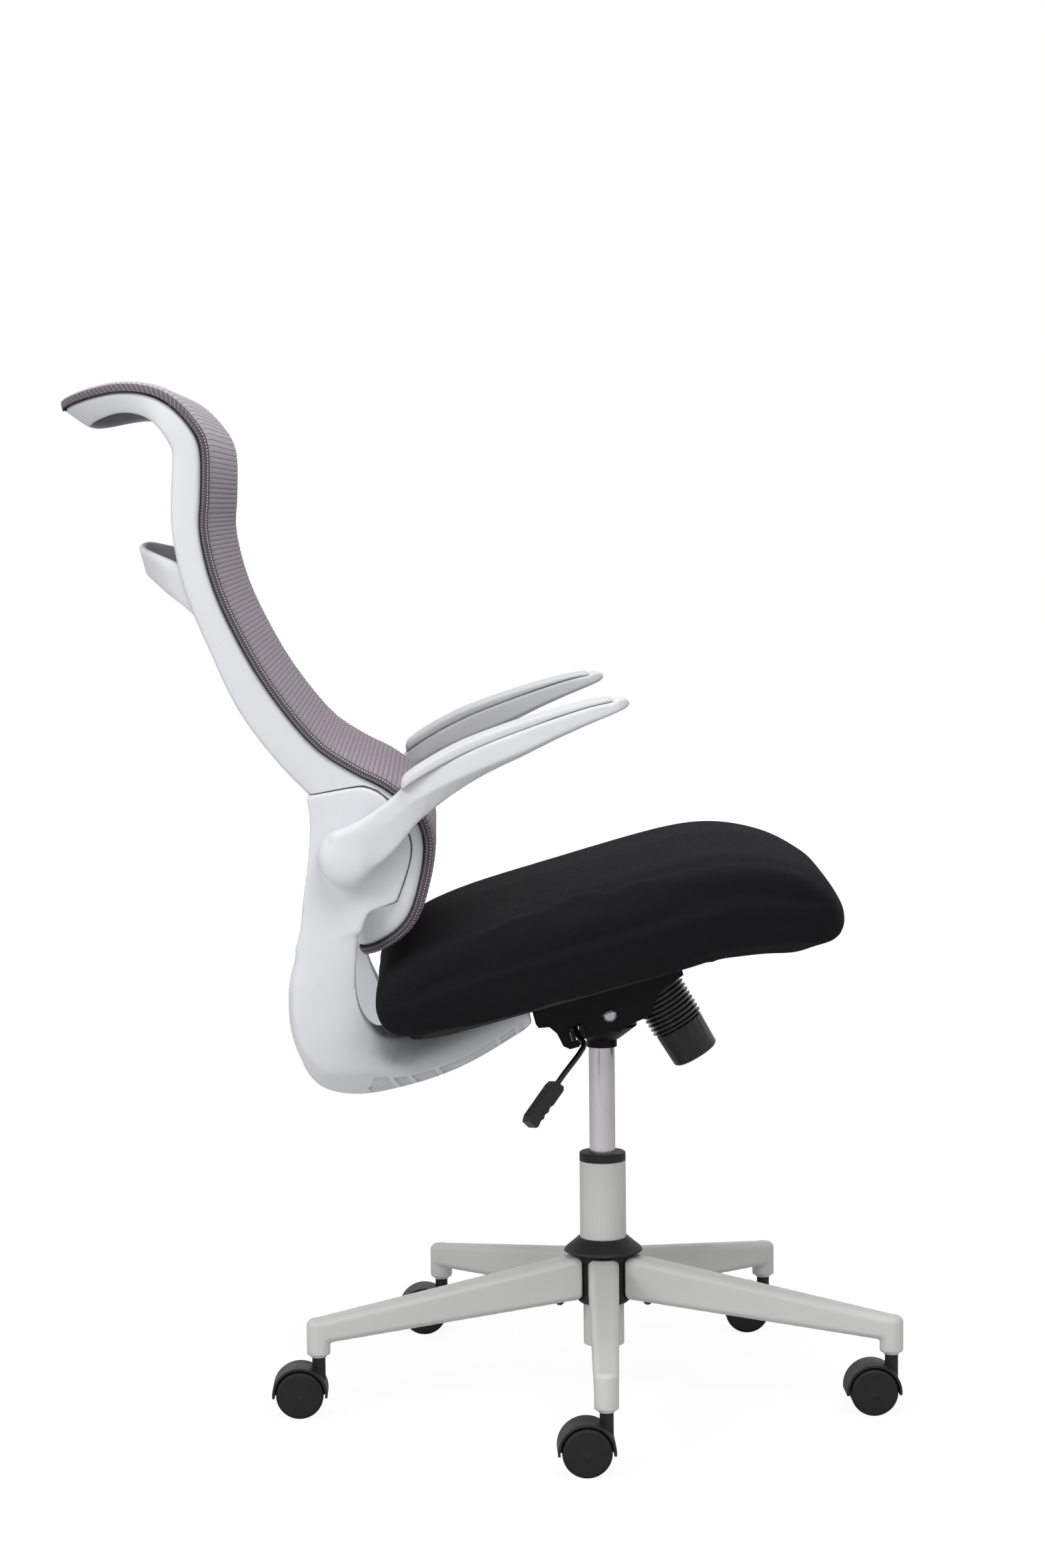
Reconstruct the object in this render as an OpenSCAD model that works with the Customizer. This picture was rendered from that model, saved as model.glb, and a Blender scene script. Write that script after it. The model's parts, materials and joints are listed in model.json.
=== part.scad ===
/* [Star base] */
// Radius from the column axis to each caster stem
base_radius = 318; // [260:2:360]
// Turn of the star base about the column, in degrees
base_turn = -92.4; // [-110:0.1:-70]
// Height of the underside of the legs at the hub
leg_low = 103; // [98:1:110]
// Depth of a leg at the hub
leg_depth = 47; // [40:1:56]
// Width of a leg at the hub
leg_width = 33; // [28:1:36]
// Depth of a leg at its tip
tip_depth = 26; // [22:1:30]
// Width of a leg at its tip, and of the caster socket
tip_width = 25; // [22:1:28]
// Height of the lower rim of a caster socket
socket_low = 64.4; // [63:0.2:68]
// Radius of the hub body between the legs
hub_radius = 32.5; // [30:0.5:36]
// Greatest radius of the cone that covers the hub
cover_radius = 42.5; // [38:0.5:50]

/* [Casters] */
// Diameter of a caster wheel
wheel_d = 50; // [44:1:54]
// Thickness of each of the two wheels of a caster
wheel_t = 17; // [14:0.5:20]
// Distance from the stem axis to the wheel axle
caster_trail = 20; // [16:1:24]
// Diameter of the steel stem
stem_d = 11; // [10:0.5:12]
// Diameter of the wheel axle
axle_d = 6; // [5:0.5:8]
// Wall of the plastic hood over the wheels
hood_wall = 2.6; // [2:0.2:4]

/* [Gas lift] */
// Outer diameter of the base column
column_d = 50; // [44:1:54]
// Outer diameter of the lower end of the column
column_low_d = 44; // [40:1:46]
// Height of the lower rim of the column
column_low = 51; // [40:1:60]
// Height of the top of the column, under its bush
column_top = 252; // [230:2:270]
// Diameter of the polished gas cylinder
gas_d = 28; // [26:0.5:30]
// Travel of the gas lift
gas_stroke = 100; // [80:5:104]
// Height of the mechanism collar on the cylinder
collar_z = 376; // [372:1:384]
// Diameter of the piston rod
rod_d = 10; // [8:0.5:12]

/* [Tilt mechanism] */
// Backward tilt of the seat and back as shown, in degrees
recline = 15; // [0:1:15]
// Distance of the pivot bolt in front of the column axis
pivot_x = 6; // [4:1:8]
// Height of the pivot bolt
pivot_z = 418; // [416:1:422]
// Length of the pressed housing
mech_length = 165; // [155:1:175]
// Depth of the pressed housing, from its top plate to its lower lobe
mech_depth = 72; // [68:1:76]
// Width over the side walls of the housing
mech_width = 110; // [100:2:120]
// Sheet thickness of the housing
mech_wall = 3; // [2:0.5:4]
// Diameter of the pivot bolt
bolt_d = 10; // [8:0.5:12]

/* [Tension knob] */
// Diameter of the tension knob
knob_d = 54; // [48:1:58]
// Length of the tension knob
knob_length = 39; // [34:1:44]
// Forward lean of the knob axis from upright, in degrees
knob_lean = 15.5; // [12:0.5:18]
// Greatest diameter of the ribbed bellows
bellows_d = 58; // [54:1:60]
// Length of the ribbed bellows
bellows_length = 57; // [53:1:61]
// Number of ribs on the bellows
bellows_ribs = 10; // [6:1:14]

/* [Seat] */
// Height of the seat board's underside with the seat level
seat_low = 466; // [464:1:470]
// Length of the seat cushion from rear to front
seat_length = 500; // [470:2:520]
// Width of the seat cushion
seat_width = 490; // [460:2:500]
// Height of the cushion's ridge above the board's underside
seat_rise = 99; // [80:1:110]
// Drop of the front lip below the board's underside
lip_drop = 23; // [10:1:26]
// Crown of the cushion between its two ridges
seat_crown = 7; // [0:1:14]
// Thickness of the seat board
board_t = 12; // [9:1:15]

/* [Back] */
// Height of the back from its lower bar to the top of its curl
back_rise = 624; // [600:2:640]
// Fore and aft reach of the back from the end of its curl to its lumbar bulge
back_reach = 244; // [231:1:253]
// Width over the two side rails
back_width = 444; // [438:1:446]
// Width of a side rail, seen from the front
rail_width = 24; // [20:1:28]
// Height of the mesh band in front of the rails
mesh_proud = 7.5; // [6:0.5:9]
// Thickness of the mesh between the rails
mesh_t = 2.5; // [2:0.5:4]

/* [Arms] */
// Height of the arm hinge with the seat level
arm_pivot_z = 673; // [670:1:678]
// Distance of the arm hinge behind the column axis
arm_pivot_x = -206; // [-210:1:-202]
// Diameter of the arm hub
hub_d = 59; // [54:1:62]
// Length of the arm from its hinge to its front tip
arm_length = 312; // [295:1:325]
// Rise of the pad's top above the arm hinge
arm_rise = 88; // [82:1:94]
// Width of an arm pad
pad_width = 64; // [56:1:72]
// Distance of each pad's centre line outside the side cheek of the strut
pad_out = 31; // [30:1:39]

/* [Hidden] */
$fn = 64;

// General fits: running clearance of a shaft, gap between seated pieces, overrun of a cut
run_fit = 0.05;
seat_gap = 0.3;
over = 1;

// Star base
legs = 5;
leg_bevel = 5;
leg_slab = 1;
tongue_reach = 60;
tongue_width = 16;
tongue_depth = 14;
tongue_low = leg_low + leg_depth * 0.42;
tongue_fit = 0.2;
socket_round = 4;
stem_depth = 34;
screw_radius = 50;
screw_d = 5;
screw_head_d = 9;
screw_head_t = 4;
hub_wall_flare = 1.5;
hub_low = 97;
cover_top = 168;
cover_rim = 151;
cover_wall = 4;
column_shoulder = 160;
column_wall = 2.5;

// Casters
wheel_r = wheel_d / 2;
hood_gap = 1.6;
hood_r = wheel_r + hood_gap + hood_wall;
web_t = 5;
web_gap = 0.5;
hood_inset = 1;
hood_width = 2 * (wheel_t - hood_inset) + web_t;
neck_d = 14;
neck_gap = 2;
neck_top = socket_low - neck_gap;
neck_grip = stem_depth * 0.3;
pin_reach = wheel_t * 0.7 + web_t / 2;
stem_tip = 1;
wheel_round = 3;
hub_boss_d = axle_d * 3;

// Gas lift and its column
bush_flange = 9;
bush_edge = 1;
bush_seat = 2;
bush_depth = 77;
gas_low = column_top - bush_depth - bush_flange + bush_seat;
gas_top = collar_z + 24;
gas_wall = 1.8;
gas_cap = 8;
piston_gap = 0.2;
piston_t = 10;
plate_low = column_low + 5;
plate_t = 3;
bearing_t = 4;
bearing_d = 22;
clip_t = 2.5;
clip_d = 18;
clip_land = 1;
rod_step_t = 3;
button_d = 6;
button_rise = 8;

// Bracket that carries the tilting housing
bracket_collar = 9;
bracket_collar_d = gas_d + 5;
bracket_top = 402;
bracket_d = 76;
cup_back = 20;
arm_slot = 12;
ear_t = 16;
ear_gap = 5;
ear_out = mech_width / 2 - mech_wall - ear_gap;
ear_d = 26;
bolt_head_d = 14.6;
bolt_head_t = 4.5;
nut_d = 17;
nut_t = 7;

// Housing, its places given from the rear top corner
mech_rear = -72;
mech_top = seat_low;
flange_width = mech_width + 70;
mech_shares = [
    [0, 0.04], [0, 0.5], [0.012, 0.57], [0.079, 0.6], [0.115, 0.72], [0.133, 0.93], [0.17, 1], [0.23, 1],
    [0.279, 0.9], [0.45, 0.915], [0.67, 0.86], [0.739, 0.82], [0.77, 0.68], [0.818, 0.556],
    [0.897, 0.472], [1, 0.39], [1, 0.04]];
flange_hole_shares = [[0.12, 0.41], [0.88, 0.41]];
seat_bolt_d = 6;
seat_bolt_head_d = 12;
seat_bolt_head_t = 4;
board_bite = board_t * 0.7;

// Tension knob, bellows and spring, along their leaning axis
knob_x = 75;
knob_z = 380;
knob_grooves = 18;
groove_d = 2.4;
knob_taper = 1;
knob_chamfer = 2;
knob_bolt_d = 8;
bolt_reach = 76;
bellows_wall = 1.5;
bellows_rib = 4.5;
bellows_gap = 0.5;
spring_d = 34;
spring_wire = 4.4;
spring_turns = 6;
ring_steps = 8;
wire_sides = 6;

// Release lever
lever_x = -32;
lever_z = 409;
lever_wire = 6;
bush_size = 15;
bush_out = mech_width / 2 + 3;
bush_in = mech_width / 2 - 17;
lever_eye_d = 9;
lever_eye_t = 4.5;
lever_pin_d = 3.5;
lever_lift = 4.5;
lever_slide = 12;
lever_step_y = -bush_in + lever_slide + seat_gap;
rod_sides = 16;
rod_steps = 18;
nose_drop = 2;
lever_slot = 5.6;
lever_route_shares = [
    [0, -0.002, 0], [0, -0.1, 0], [0.01, -0.19, -0.02], [0.02, -0.27, -0.1], [-0.22, -0.43, -0.265],
    [-0.33, -0.495, -0.345], [-0.44, -0.56, -0.425]];
lever_span = 110;
paddle_length = 54;
paddle_width = 16;
paddle_t = 14;
paddle_shares = [
    [0, -0.32], [0.02, 0.42], [0.12, 0.5], [0.88, 0.5], [1, 0.3], [1, -0.42], [0.95, -0.5], [0.82, -0.4],
    [0.76, -0.5], [0.68, -0.38], [0.6, -0.5], [0.5, -0.38], [0.42, -0.5], [0.06, -0.5]];

// Seat cushion: stations from rear to front as [place, half width, top, bottom] shares
seat_rear = -228;
seat_tuck = 12;
cushion_shares = [
    [0.000, 0.80, 0.42, 0.24], [0.006, 0.86, 0.52, 0.17], [0.020, 0.91, 0.62, 0.105],
    [0.045, 0.95, 0.72, 0.035], [0.085, 0.975, 0.82, 0.00], [0.150, 0.985, 0.905, 0.00],
    [0.230, 0.99, 0.955, 0.00], [0.320, 0.995, 0.975, 0.00], [0.420, 1.00, 0.985, 0.00],
    [0.520, 1.00, 0.995, 0.00], [0.620, 1.00, 1.000, 0.00], [0.700, 0.995, 0.995, 0.00],
    [0.770, 0.985, 0.965, -0.02], [0.830, 0.97, 0.895, -0.09], [0.880, 0.95, 0.79, -0.17],
    [0.920, 0.92, 0.68, -0.23], [0.950, 0.885, 0.56, -0.235], [0.975, 0.83, 0.42, -0.20],
    [0.990, 0.75, 0.24, -0.13], [1.000, 0.62, 0.08, -0.05]];
cushion_ring_shares = [
    [1.000, 0.50], [0.985, 0.66], [0.93, 0.82], [0.86, 0.93], [0.77, 0.99], [0.66, 1.00], [0.50, 1.00],
    [0.25, 1.00], [0.00, 1.00]];
crown_reach = 0.8;
cushion_under_shares = [
    [0.992, 0.32], [0.975, 0.16], [0.94, 0.05], [0.88, 0.00], [0.50, 0.00], [0.00, 0.00]];
board_rear = -200;
board_length = 350;
board_width = 400;
board_round = 60;

// Back: front line of the rails as [reach, rise, depth] shares, from the lower bar to the curl
back_x = -224;
back_z = 571;
rail_depth = 50;
back_shares = [
    [0.000, 0.000, 0.36], [0.111, 0.010, 0.50], [0.240, 0.036, 0.80], [0.330, 0.084, 0.96],
    [0.400, 0.142, 1.00], [0.403, 0.186, 1.00], [0.360, 0.222, 1.00], [0.290, 0.256, 0.96],
    [0.190, 0.290, 0.92], [0.060, 0.348, 0.76], [-0.055, 0.447, 0.72], [-0.124, 0.543, 0.60],
    [-0.161, 0.635, 0.56], [-0.152, 0.723, 0.56], [-0.101, 0.784, 0.60], [-0.051, 0.856, 0.56],
    [-0.078, 0.899, 0.52], [-0.134, 0.935, 0.46], [-0.213, 0.959, 0.42], [-0.330, 0.975, 0.38],
    [-0.450, 0.981, 0.40], [-0.540, 0.983, 0.44], [-0.634, 0.984, 0.46]];
back_unit = back_reach / (max([for (p = back_shares) p[0]]) - min([for (p = back_shares) p[0]]));
back_steps = 72;
rail_stations = 44;
bar_stations = 3;
corner_stations = 12;
low_corner = 84;
low_bar = back_width / 2 - rail_width / 2 - low_corner;
head_length = 128;
head_bar = 24;
head_lean = 0.8;
rail_ring_shares = [
    [0.5, -0.12], [0.5, -0.72], [0.40, -0.93], [0.2, -1], [-0.2, -1], [-0.42, -0.9], [-0.5, -0.65],
    [-0.5, -0.12], [-0.40, 0], [0.40, 0]];

// Mesh of the back
mesh_end_shares = [0, 0.03, 0.10, 0.22, 0.38];
mesh_low_stations = 6;
mesh_high_stations = 8;
mesh_step = 1;
mesh_edge = 2;
band_width = 22;
mesh_end = 1;

// Strut from the seat to the arms, each row being outer x and z, inner x and z, inside y, outside y,
// keel y and bilge rise
strut_clear = 5;
strut_half = back_width / 2 + strut_clear;
pad_offset = strut_half + pad_out;
strut_x = 237;
strut_z = 336;
cheek_t = 13.6;
strut_shares = [
    [0.000, 0.074, 0.000, 0.1805, -0.01, 0.33, 0.24, 0.30],
    [0.143, 0.046, 0.143, 0.1805, -0.01, 0.41, 0.26, 0.28],
    [0.312, 0.016, 0.312, 0.1805, -0.01, 0.50, 0.27, 0.27],
    [0.481, 0.002, 0.481, 0.1805, -0.01, 0.61, 0.28, 0.33],
    [0.650, 0.004, 0.548, 0.1805, -0.01, 0.73, 0.30, 0.42],
    [0.785, 0.036, 0.612, 0.206, 0.22, 0.83, 0.50, 0.45],
    [0.885, 0.086, 0.645, 0.235, 0.52, 0.90, 0.70, 0.34],
    [0.955, 0.145, 0.667, 0.277, 0.71, 0.945, 0.82, 0.22],
    [0.989, 0.238, 0.679, 0.321, 0.80, 0.975, 0.88, 0.14],
    [0.990, 0.342, 0.679, 0.372, 0.84, 0.99, 0.92, 0.10],
    [0.945, 0.458, 0.658, 0.438, 0.865, 1.0, 0.95, 0.10],
    [0.891, 0.533, 0.620, 0.515, 0.90, 1.0, 0.96, 0.10],
    [0.793, 0.682, 0.578, 0.589, 0.941, 1.0, 0.97, 0.10],
    [0.726, 0.792, 0.545, 0.664, 0.941, 1.0, 0.97, 0.10]];
strut_front = -76;
strut_floor = 405;
strut_steps = 28;
strut_crease_share = 0.62;
cheek_shares = [
    [0.646, 1.000], [0.439, 0.988], [0.401, 0.982], [0.352, 0.958], [0.310, 0.917], [0.270, 0.815],
    [0.276, 0.770], [0.300, 0.729], [0.346, 0.678], [0.400, 0.625], [0.523, 0.616], [0.549, 0.598],
    [0.578, 0.562], [0.890, 0.562], [0.840, 0.604], [0.793, 0.682], [0.726, 0.792], [0.684, 0.869],
    [0.655, 0.935]];
recess_gap = 1.2;
rib_t = 5;
skin_t = 4;
rim_t = 4;
rib_pitch = 35;
rib_shares = [0.07, 0.163, 0.448, 0.569, 0.643, 0.767, 0.87];
web_shares = [0, 0.5];
pocket_mouth = 0.1;
pocket_first = 0.35;
pocket_last = 5.0;
pocket_steps = 12;
strut_bolt_shares = [[0.23, 0.128], [0.37, 0.128]];

// Arms: stations as [place, low, high, half width, lean to the pad's middle, crease] shares
arm_inside = strut_half + seat_gap;
dome_t = 38;
arm_shares = [
    [-0.030, -0.27, 0.32, 0.50, 0.42, 0.60], [0.071, -0.20, 0.37, 0.52, 0.42, 0.60],
    [0.147, -0.08, 0.455, 0.58, 0.44, 0.60], [0.215, 0.09, 0.56, 0.68, 0.56, 0.56],
    [0.260, 0.20, 0.645, 0.82, 0.70, 0.52], [0.372, 0.375, 0.755, 0.97, 0.86, 0.40],
    [0.500, 0.51, 0.84, 1.02, 0.96, 0.26], [0.628, 0.59, 0.885, 1.03, 1.0, 0.20],
    [0.756, 0.68, 0.92, 1.03, 1.0, 0.18], [0.869, 0.74, 0.935, 1.02, 1.0, 0.18],
    [0.925, 0.765, 0.925, 0.99, 1.0, 0.18], [0.952, 0.778, 0.915, 0.96, 1.0, 0.18],
    [0.963, 0.784, 0.935, 0.93, 1.0, 0.18], [0.985, 0.80, 0.92, 0.80, 1.0, 0.18],
    [1.000, 0.83, 0.885, 0.58, 1.0, 0.18]];
arm_top_shares = [[0.92, 1], [0.985, 0.97], [1.0, 0.90]];
arm_low_shares = [[1.0, 0.03], [0.93, -0.03]];
arm_keel_shares = [[0.5, 0.03], [0.3, 0]];
arm_steps = 28;
pad_shares = [
    [0.232, 0.655, 0.72], [0.240, 0.71, 0.85], [0.258, 0.75, 0.92], [0.300, 0.805, 0.95],
    [0.372, 0.875, 0.965], [0.449, 0.932, 0.97], [0.538, 0.966, 0.97], [0.650, 0.992, 0.97],
    [0.750, 1.0, 0.97], [0.850, 0.997, 0.96], [0.905, 0.985, 0.94], [0.935, 0.97, 0.88],
    [0.950, 0.95, 0.74]];
pad_ring_shares = [
    [0.80, 1], [0.92, 0.90], [0.98, 0.70], [1.0, 0.4], [0.99, 0.1], [0.95, 0], [-0.95, 0], [-0.99, 0.1],
    [-1.0, 0.4], [-0.98, 0.70], [-0.92, 0.90], [-0.80, 1]];
pad_steps = 24;
arm_pin_d = 12;
arm_pin_in = cheek_t * 1.9;
arm_pin_share = 0.62;

// Coat hanger: half of its band as [rear reach, y, low, high] shares
hanger_reach = 49;
hanger_z = 945;
hanger_rise = 86;
hanger_half = back_width / 2 - rail_width * 0.45;
hanger_tenon = 6;
hanger_t = 7;
hanger_x = -286;
hanger_fit = 0.8;
hanger_shares = [
    [0.00, 1.00, 0.00, 0.62], [0.06, 1.00, 0.005, 0.615], [0.20, 0.985, 0.12, 0.68],
    [0.42, 0.94, 0.27, 0.76], [0.63, 0.85, 0.43, 0.84], [0.80, 0.72, 0.54, 0.90],
    [0.92, 0.54, 0.61, 0.95], [0.98, 0.30, 0.65, 0.985], [1.00, 0.00, 0.66, 1.00]];
hanger_steps = 16;

// Catmull-Rom curve through a table of vectors, u runs from 0 to the last row
function blend4(a, b, c, d, t) =
    0.5 * (2 * b + (c - a) * t + (2 * a - 5 * b + 4 * c - d) * t * t + (3 * b - a - 3 * c + d) * t * t * t);
function row(table, i) = table[max(0, min(len(table) - 1, i))];
function curve(table, u) =
    let (i = min(floor(u), len(table) - 2), t = u - i)
    blend4(row(table, i - 1), row(table, i), row(table, i + 1), row(table, i + 2), t);
function resample(table, n) = [for (i = [0:n]) curve(table, i * (len(table) - 1) / n)];
function running(points) =
    [for (i = 0, d = 0; i < len(points);
        i = i + 1, d = d + (i < len(points) ? norm(points[i] - points[i - 1]) : 0)) d];
function centre(ring) = [for (k = [0:2]) [for (p = ring) 1] * [for (p = ring) p[k]] / len(ring)];
function backwards(list) = [for (i = [len(list) - 1:-1:0]) list[i]];

// Solid through rings of equal count, capped at both ends
module loft(rings) {
    n = len(rings[0]);
    m = len(rings);
    points = concat([for (r = rings) each r], [centre(rings[0]), centre(rings[m - 1])]);
    sides = [for (i = [0:m - 2]) for (j = [0:n - 1])
        let (a = i * n + j, b = i * n + (j + 1) % n, c = b + n, d = a + n) each [[a, d, c], [a, c, b]]];
    caps = [for (j = [0:n - 1]) each [[n * m, j, (j + 1) % n],
        [n * m + 1, (m - 1) * n + (j + 1) % n, (m - 1) * n + j]]];
    polyhedron(points = points, faces = concat(sides, caps));
}

// Solid through rings that close on themselves
module closed_loft(rings) {
    n = len(rings[0]);
    m = len(rings);
    points = [for (r = rings) each r];
    sides = [for (i = [0:m - 1]) for (j = [0:n - 1])
        let (a = i * n + j, b = i * n + (j + 1) % n, c = ((i + 1) % m) * n + (j + 1) % n,
            d = ((i + 1) % m) * n + j) each [[a, d, c], [a, c, b]]];
    polyhedron(points = points, faces = sides);
}

module bevelled(w, h, b) {
    polygon([[-w / 2 + b, -h / 2], [w / 2 - b, -h / 2], [w / 2, -h / 2 + b], [w / 2, h / 2 - b],
        [w / 2 - b, h / 2], [-w / 2 + b, h / 2], [-w / 2, h / 2 - b], [-w / 2, -h / 2 + b]]);
}

// Turns what tilts with the seat back by the angle shown, about the pivot bolt
module reclined() {
    translate([pivot_x, 0, pivot_z]) rotate([0, -recline, 0]) translate([-pivot_x, 0, -pivot_z]) children();
}

module at_leg(k) {
    rotate([0, 0, base_turn + k * 360 / legs]) children();
}

// Caster k hangs on leg k and trails to the rear of the chair
module at_caster(k) {
    angle = base_turn + k * 360 / legs;
    translate([base_radius * cos(angle), base_radius * sin(angle), 0]) children();
}

module base_hub() {
    color("dimgray") difference() {
        union() {
            rotate_extrude() polygon([[0, hub_low], [column_low_d / 2 + cover_wall, hub_low],
                [hub_radius - hub_wall_flare, leg_low - hub_wall_flare], [hub_radius, leg_low],
                [hub_radius - hub_wall_flare, leg_low + leg_bevel],
                [hub_radius - hub_wall_flare, leg_low + leg_depth - 2 * leg_bevel],
                [hub_radius, leg_low + leg_depth - leg_bevel], [hub_radius, cover_rim - seat_gap],
                [0, cover_rim - seat_gap]]);
            for (k = [0:legs - 1]) at_leg(k) translate([0, -tongue_width / 2, tongue_low])
                cube([tongue_reach, tongue_width, tongue_depth]);
        }
        outer_column_form(run_fit);
        for (k = [0:legs - 1]) at_leg(k) translate([screw_radius, 0, tongue_low - over])
            cylinder(d = screw_d + 2 * run_fit, h = tongue_depth + 2 * over);
    }
}

module hub_cover() {
    color("dimgray") rotate_extrude() polygon([[column_d / 2 + run_fit, cover_rim],
        [cover_radius - leg_bevel, cover_rim], [cover_radius, cover_rim + leg_bevel / 2],
        [cover_radius - leg_bevel / 4, cover_rim + leg_bevel],
        [column_d / 2 + cover_wall / 2, cover_top], [column_d / 2 + run_fit, cover_top]]);
}

module leg(k) {
    leg_in = hub_radius - leg_bevel;
    color("gainsboro") at_leg(k) difference() {
        union() {
            hull() {
                translate([leg_in, 0, leg_low + leg_depth / 2]) rotate([90, 0, 90])
                    linear_extrude(leg_slab) bevelled(leg_width, leg_depth, leg_bevel);
                translate([base_radius, 0, leg_low - tip_depth / 2]) rotate([90, 0, 90])
                    linear_extrude(leg_slab) bevelled(tip_width, tip_depth, leg_bevel);
            }
            translate([base_radius, 0, 0]) rotate_extrude() polygon([[0, socket_low],
                [tip_width / 2 - socket_round / 4, socket_low],
                    [tip_width / 2, socket_low + socket_round / 4],
                [tip_width / 2, leg_low - socket_round], [tip_width / 2 - socket_round, leg_low],
                    [0, leg_low]]);
        }
        translate([0, 0, socket_low]) cylinder(r = hub_radius + run_fit, h = leg_low + leg_depth);
        translate([base_radius, 0, socket_low - over])
            cylinder(d = stem_d + 2 * run_fit, h = stem_depth + over);
        translate([0, -tongue_width / 2 - tongue_fit, tongue_low - tongue_fit])
            cube([tongue_reach + tongue_fit, tongue_width + 2 * tongue_fit, tongue_depth + 2 * tongue_fit]);
        translate([screw_radius, 0, hub_low - screw_head_t])
            cylinder(d = screw_d + 2 * run_fit, h = tongue_low - hub_low + screw_head_t);
    }
}

// Height of a leg's underside at a given radius, taken on the line from hub to tip
function leg_under(r) =
    leg_low - tip_depth * (r - hub_radius + leg_bevel) / (base_radius - hub_radius + leg_bevel);

module leg_screws() {
    head_z = leg_under(screw_radius + screw_head_d / 2) - seat_gap;
    color("black") for (k = [0:legs - 1]) at_leg(k) translate([screw_radius, 0, 0]) rotate_extrude()
        polygon([[0, head_z - screw_head_t], [screw_head_d / 2 - screw_head_t / 2, head_z - screw_head_t],
            [screw_head_d / 2, head_z - screw_head_t / 2], [screw_head_d / 2, head_z],
                [screw_d / 2, head_z],
            [screw_d / 2, tongue_low + tongue_depth], [0, tongue_low + tongue_depth]]);
}

module outer_column_form(grow) {
    rotate_extrude() polygon([[0, column_low - over], [column_low_d / 2 + grow, column_low - over],
        [column_low_d / 2 + grow, leg_low], [column_d / 2 + grow, column_shoulder],
        [column_d / 2 + grow, column_top], [0, column_top]]);
}

module outer_column() {
    bore = column_low_d / 2 - column_wall;
    color("gainsboro") difference() {
        rotate_extrude() polygon([[bore, column_low], [column_low_d / 2, column_low],
            [column_low_d / 2, leg_low], [column_d / 2, column_shoulder], [column_d / 2, column_top],
            [column_d / 2 - column_wall, column_top], [column_d / 2 - column_wall, column_shoulder],
            [bore, leg_low], [bore, plate_low + plate_t], [rod_d / 2 + run_fit, plate_low + plate_t],
            [rod_d / 2 + run_fit, plate_low], [bore, plate_low]]);
    }
}

module column_bush() {
    sleeve = column_d / 2 - column_wall - run_fit;
    color("black") rotate_extrude() polygon([[gas_d / 2 + run_fit, column_top - bush_depth],
        [sleeve, column_top - bush_depth], [sleeve, column_top], [column_d / 2, column_top],
        [column_d / 2, column_top + bush_flange - bush_edge],
        [column_d / 2 - bush_edge, column_top + bush_flange],
        [gas_d / 2 + run_fit, column_top + bush_flange]]);
}

module piston_rod() {
    shoulder = plate_low + plate_t + bearing_t;
    rod_low = plate_low - clip_t - seat_gap - clip_land;
    piston_z = gas_low + gas_cap + piston_t / 5;
    color("silver") rotate_extrude() polygon([[0, rod_low], [rod_d / 2, rod_low],
        [rod_d / 2, shoulder], [rod_d * 0.9, shoulder], [rod_d * 0.9, shoulder + rod_step_t],
        [rod_d / 2, shoulder + rod_step_t],
        [rod_d / 2, piston_z], [gas_d / 2 - gas_wall - piston_gap, piston_z],
        [gas_d / 2 - gas_wall - piston_gap, piston_z + piston_t], [0, piston_z + piston_t]]);
}

module thrust_bearing() {
    color("silver") translate([0, 0, plate_low + plate_t + seat_gap / 2]) difference() {
        cylinder(d = bearing_d, h = bearing_t - seat_gap);
        translate([0, 0, -over]) cylinder(d = rod_d + 4 * run_fit, h = bearing_t + 2 * over);
    }
}

module column_clip() {
    color("silver") translate([0, 0, plate_low - clip_t - seat_gap]) difference() {
        cylinder(d = clip_d, h = clip_t);
        translate([0, 0, -over]) cylinder(d = rod_d + 2 * run_fit, h = clip_t + 2 * over);
    }
}

module hood(k) {
    color("dimgray") at_caster(k) difference() {
        union() {
            difference() {
                union() {
                    translate([-caster_trail, hood_width / 2, wheel_r]) rotate([90, 0, 0])
                        cylinder(r = hood_r, h = hood_width);
                    translate([0, 0, wheel_r]) cylinder(d = neck_d, h = neck_top - wheel_r);
                }
                for (side = [-1, 1])
                    translate([-caster_trail, side * (hood_width / 2 + web_t) / 2, wheel_r])
                    rotate([90, 0, 0]) cylinder(r = wheel_r + hood_gap, h = hood_width / 2, center = true);
                translate([-caster_trail - hood_r - over, -hood_width, -hood_r])
                    cube([2 * (hood_r + over), 2 * hood_width, wheel_r - wheel_round + hood_r]);
            }
            translate([-caster_trail, web_t / 2, wheel_r]) rotate([90, 0, 0])
                cylinder(d = hub_boss_d, h = web_t);
        }
        translate([-caster_trail, hood_width, wheel_r]) rotate([90, 0, 0])
            cylinder(d = axle_d + 2 * run_fit, h = 2 * hood_width);
        translate([0, 0, neck_top - neck_grip]) cylinder(d = stem_d + 2 * run_fit, h = stem_depth);
    }
}

module caster_pins(k) {
    collar_z_low = neck_top + seat_gap / 3;
    stem_top = socket_low + stem_depth - stem_tip;
    color("silver") at_caster(k) {
        rotate_extrude() polygon([[0, neck_top - neck_grip], [stem_d / 2, neck_top - neck_grip],
            [stem_d / 2, collar_z_low], [neck_d * 0.6, collar_z_low], [neck_d * 0.6, socket_low - seat_gap],
            [stem_d / 2, socket_low - seat_gap], [stem_d / 2, stem_top - stem_tip],
            [stem_d / 2 - stem_tip, stem_top], [0, stem_top]]);
        translate([-caster_trail, pin_reach, wheel_r]) rotate([90, 0, 0])
            cylinder(d = axle_d, h = 2 * pin_reach);
    }
}

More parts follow.
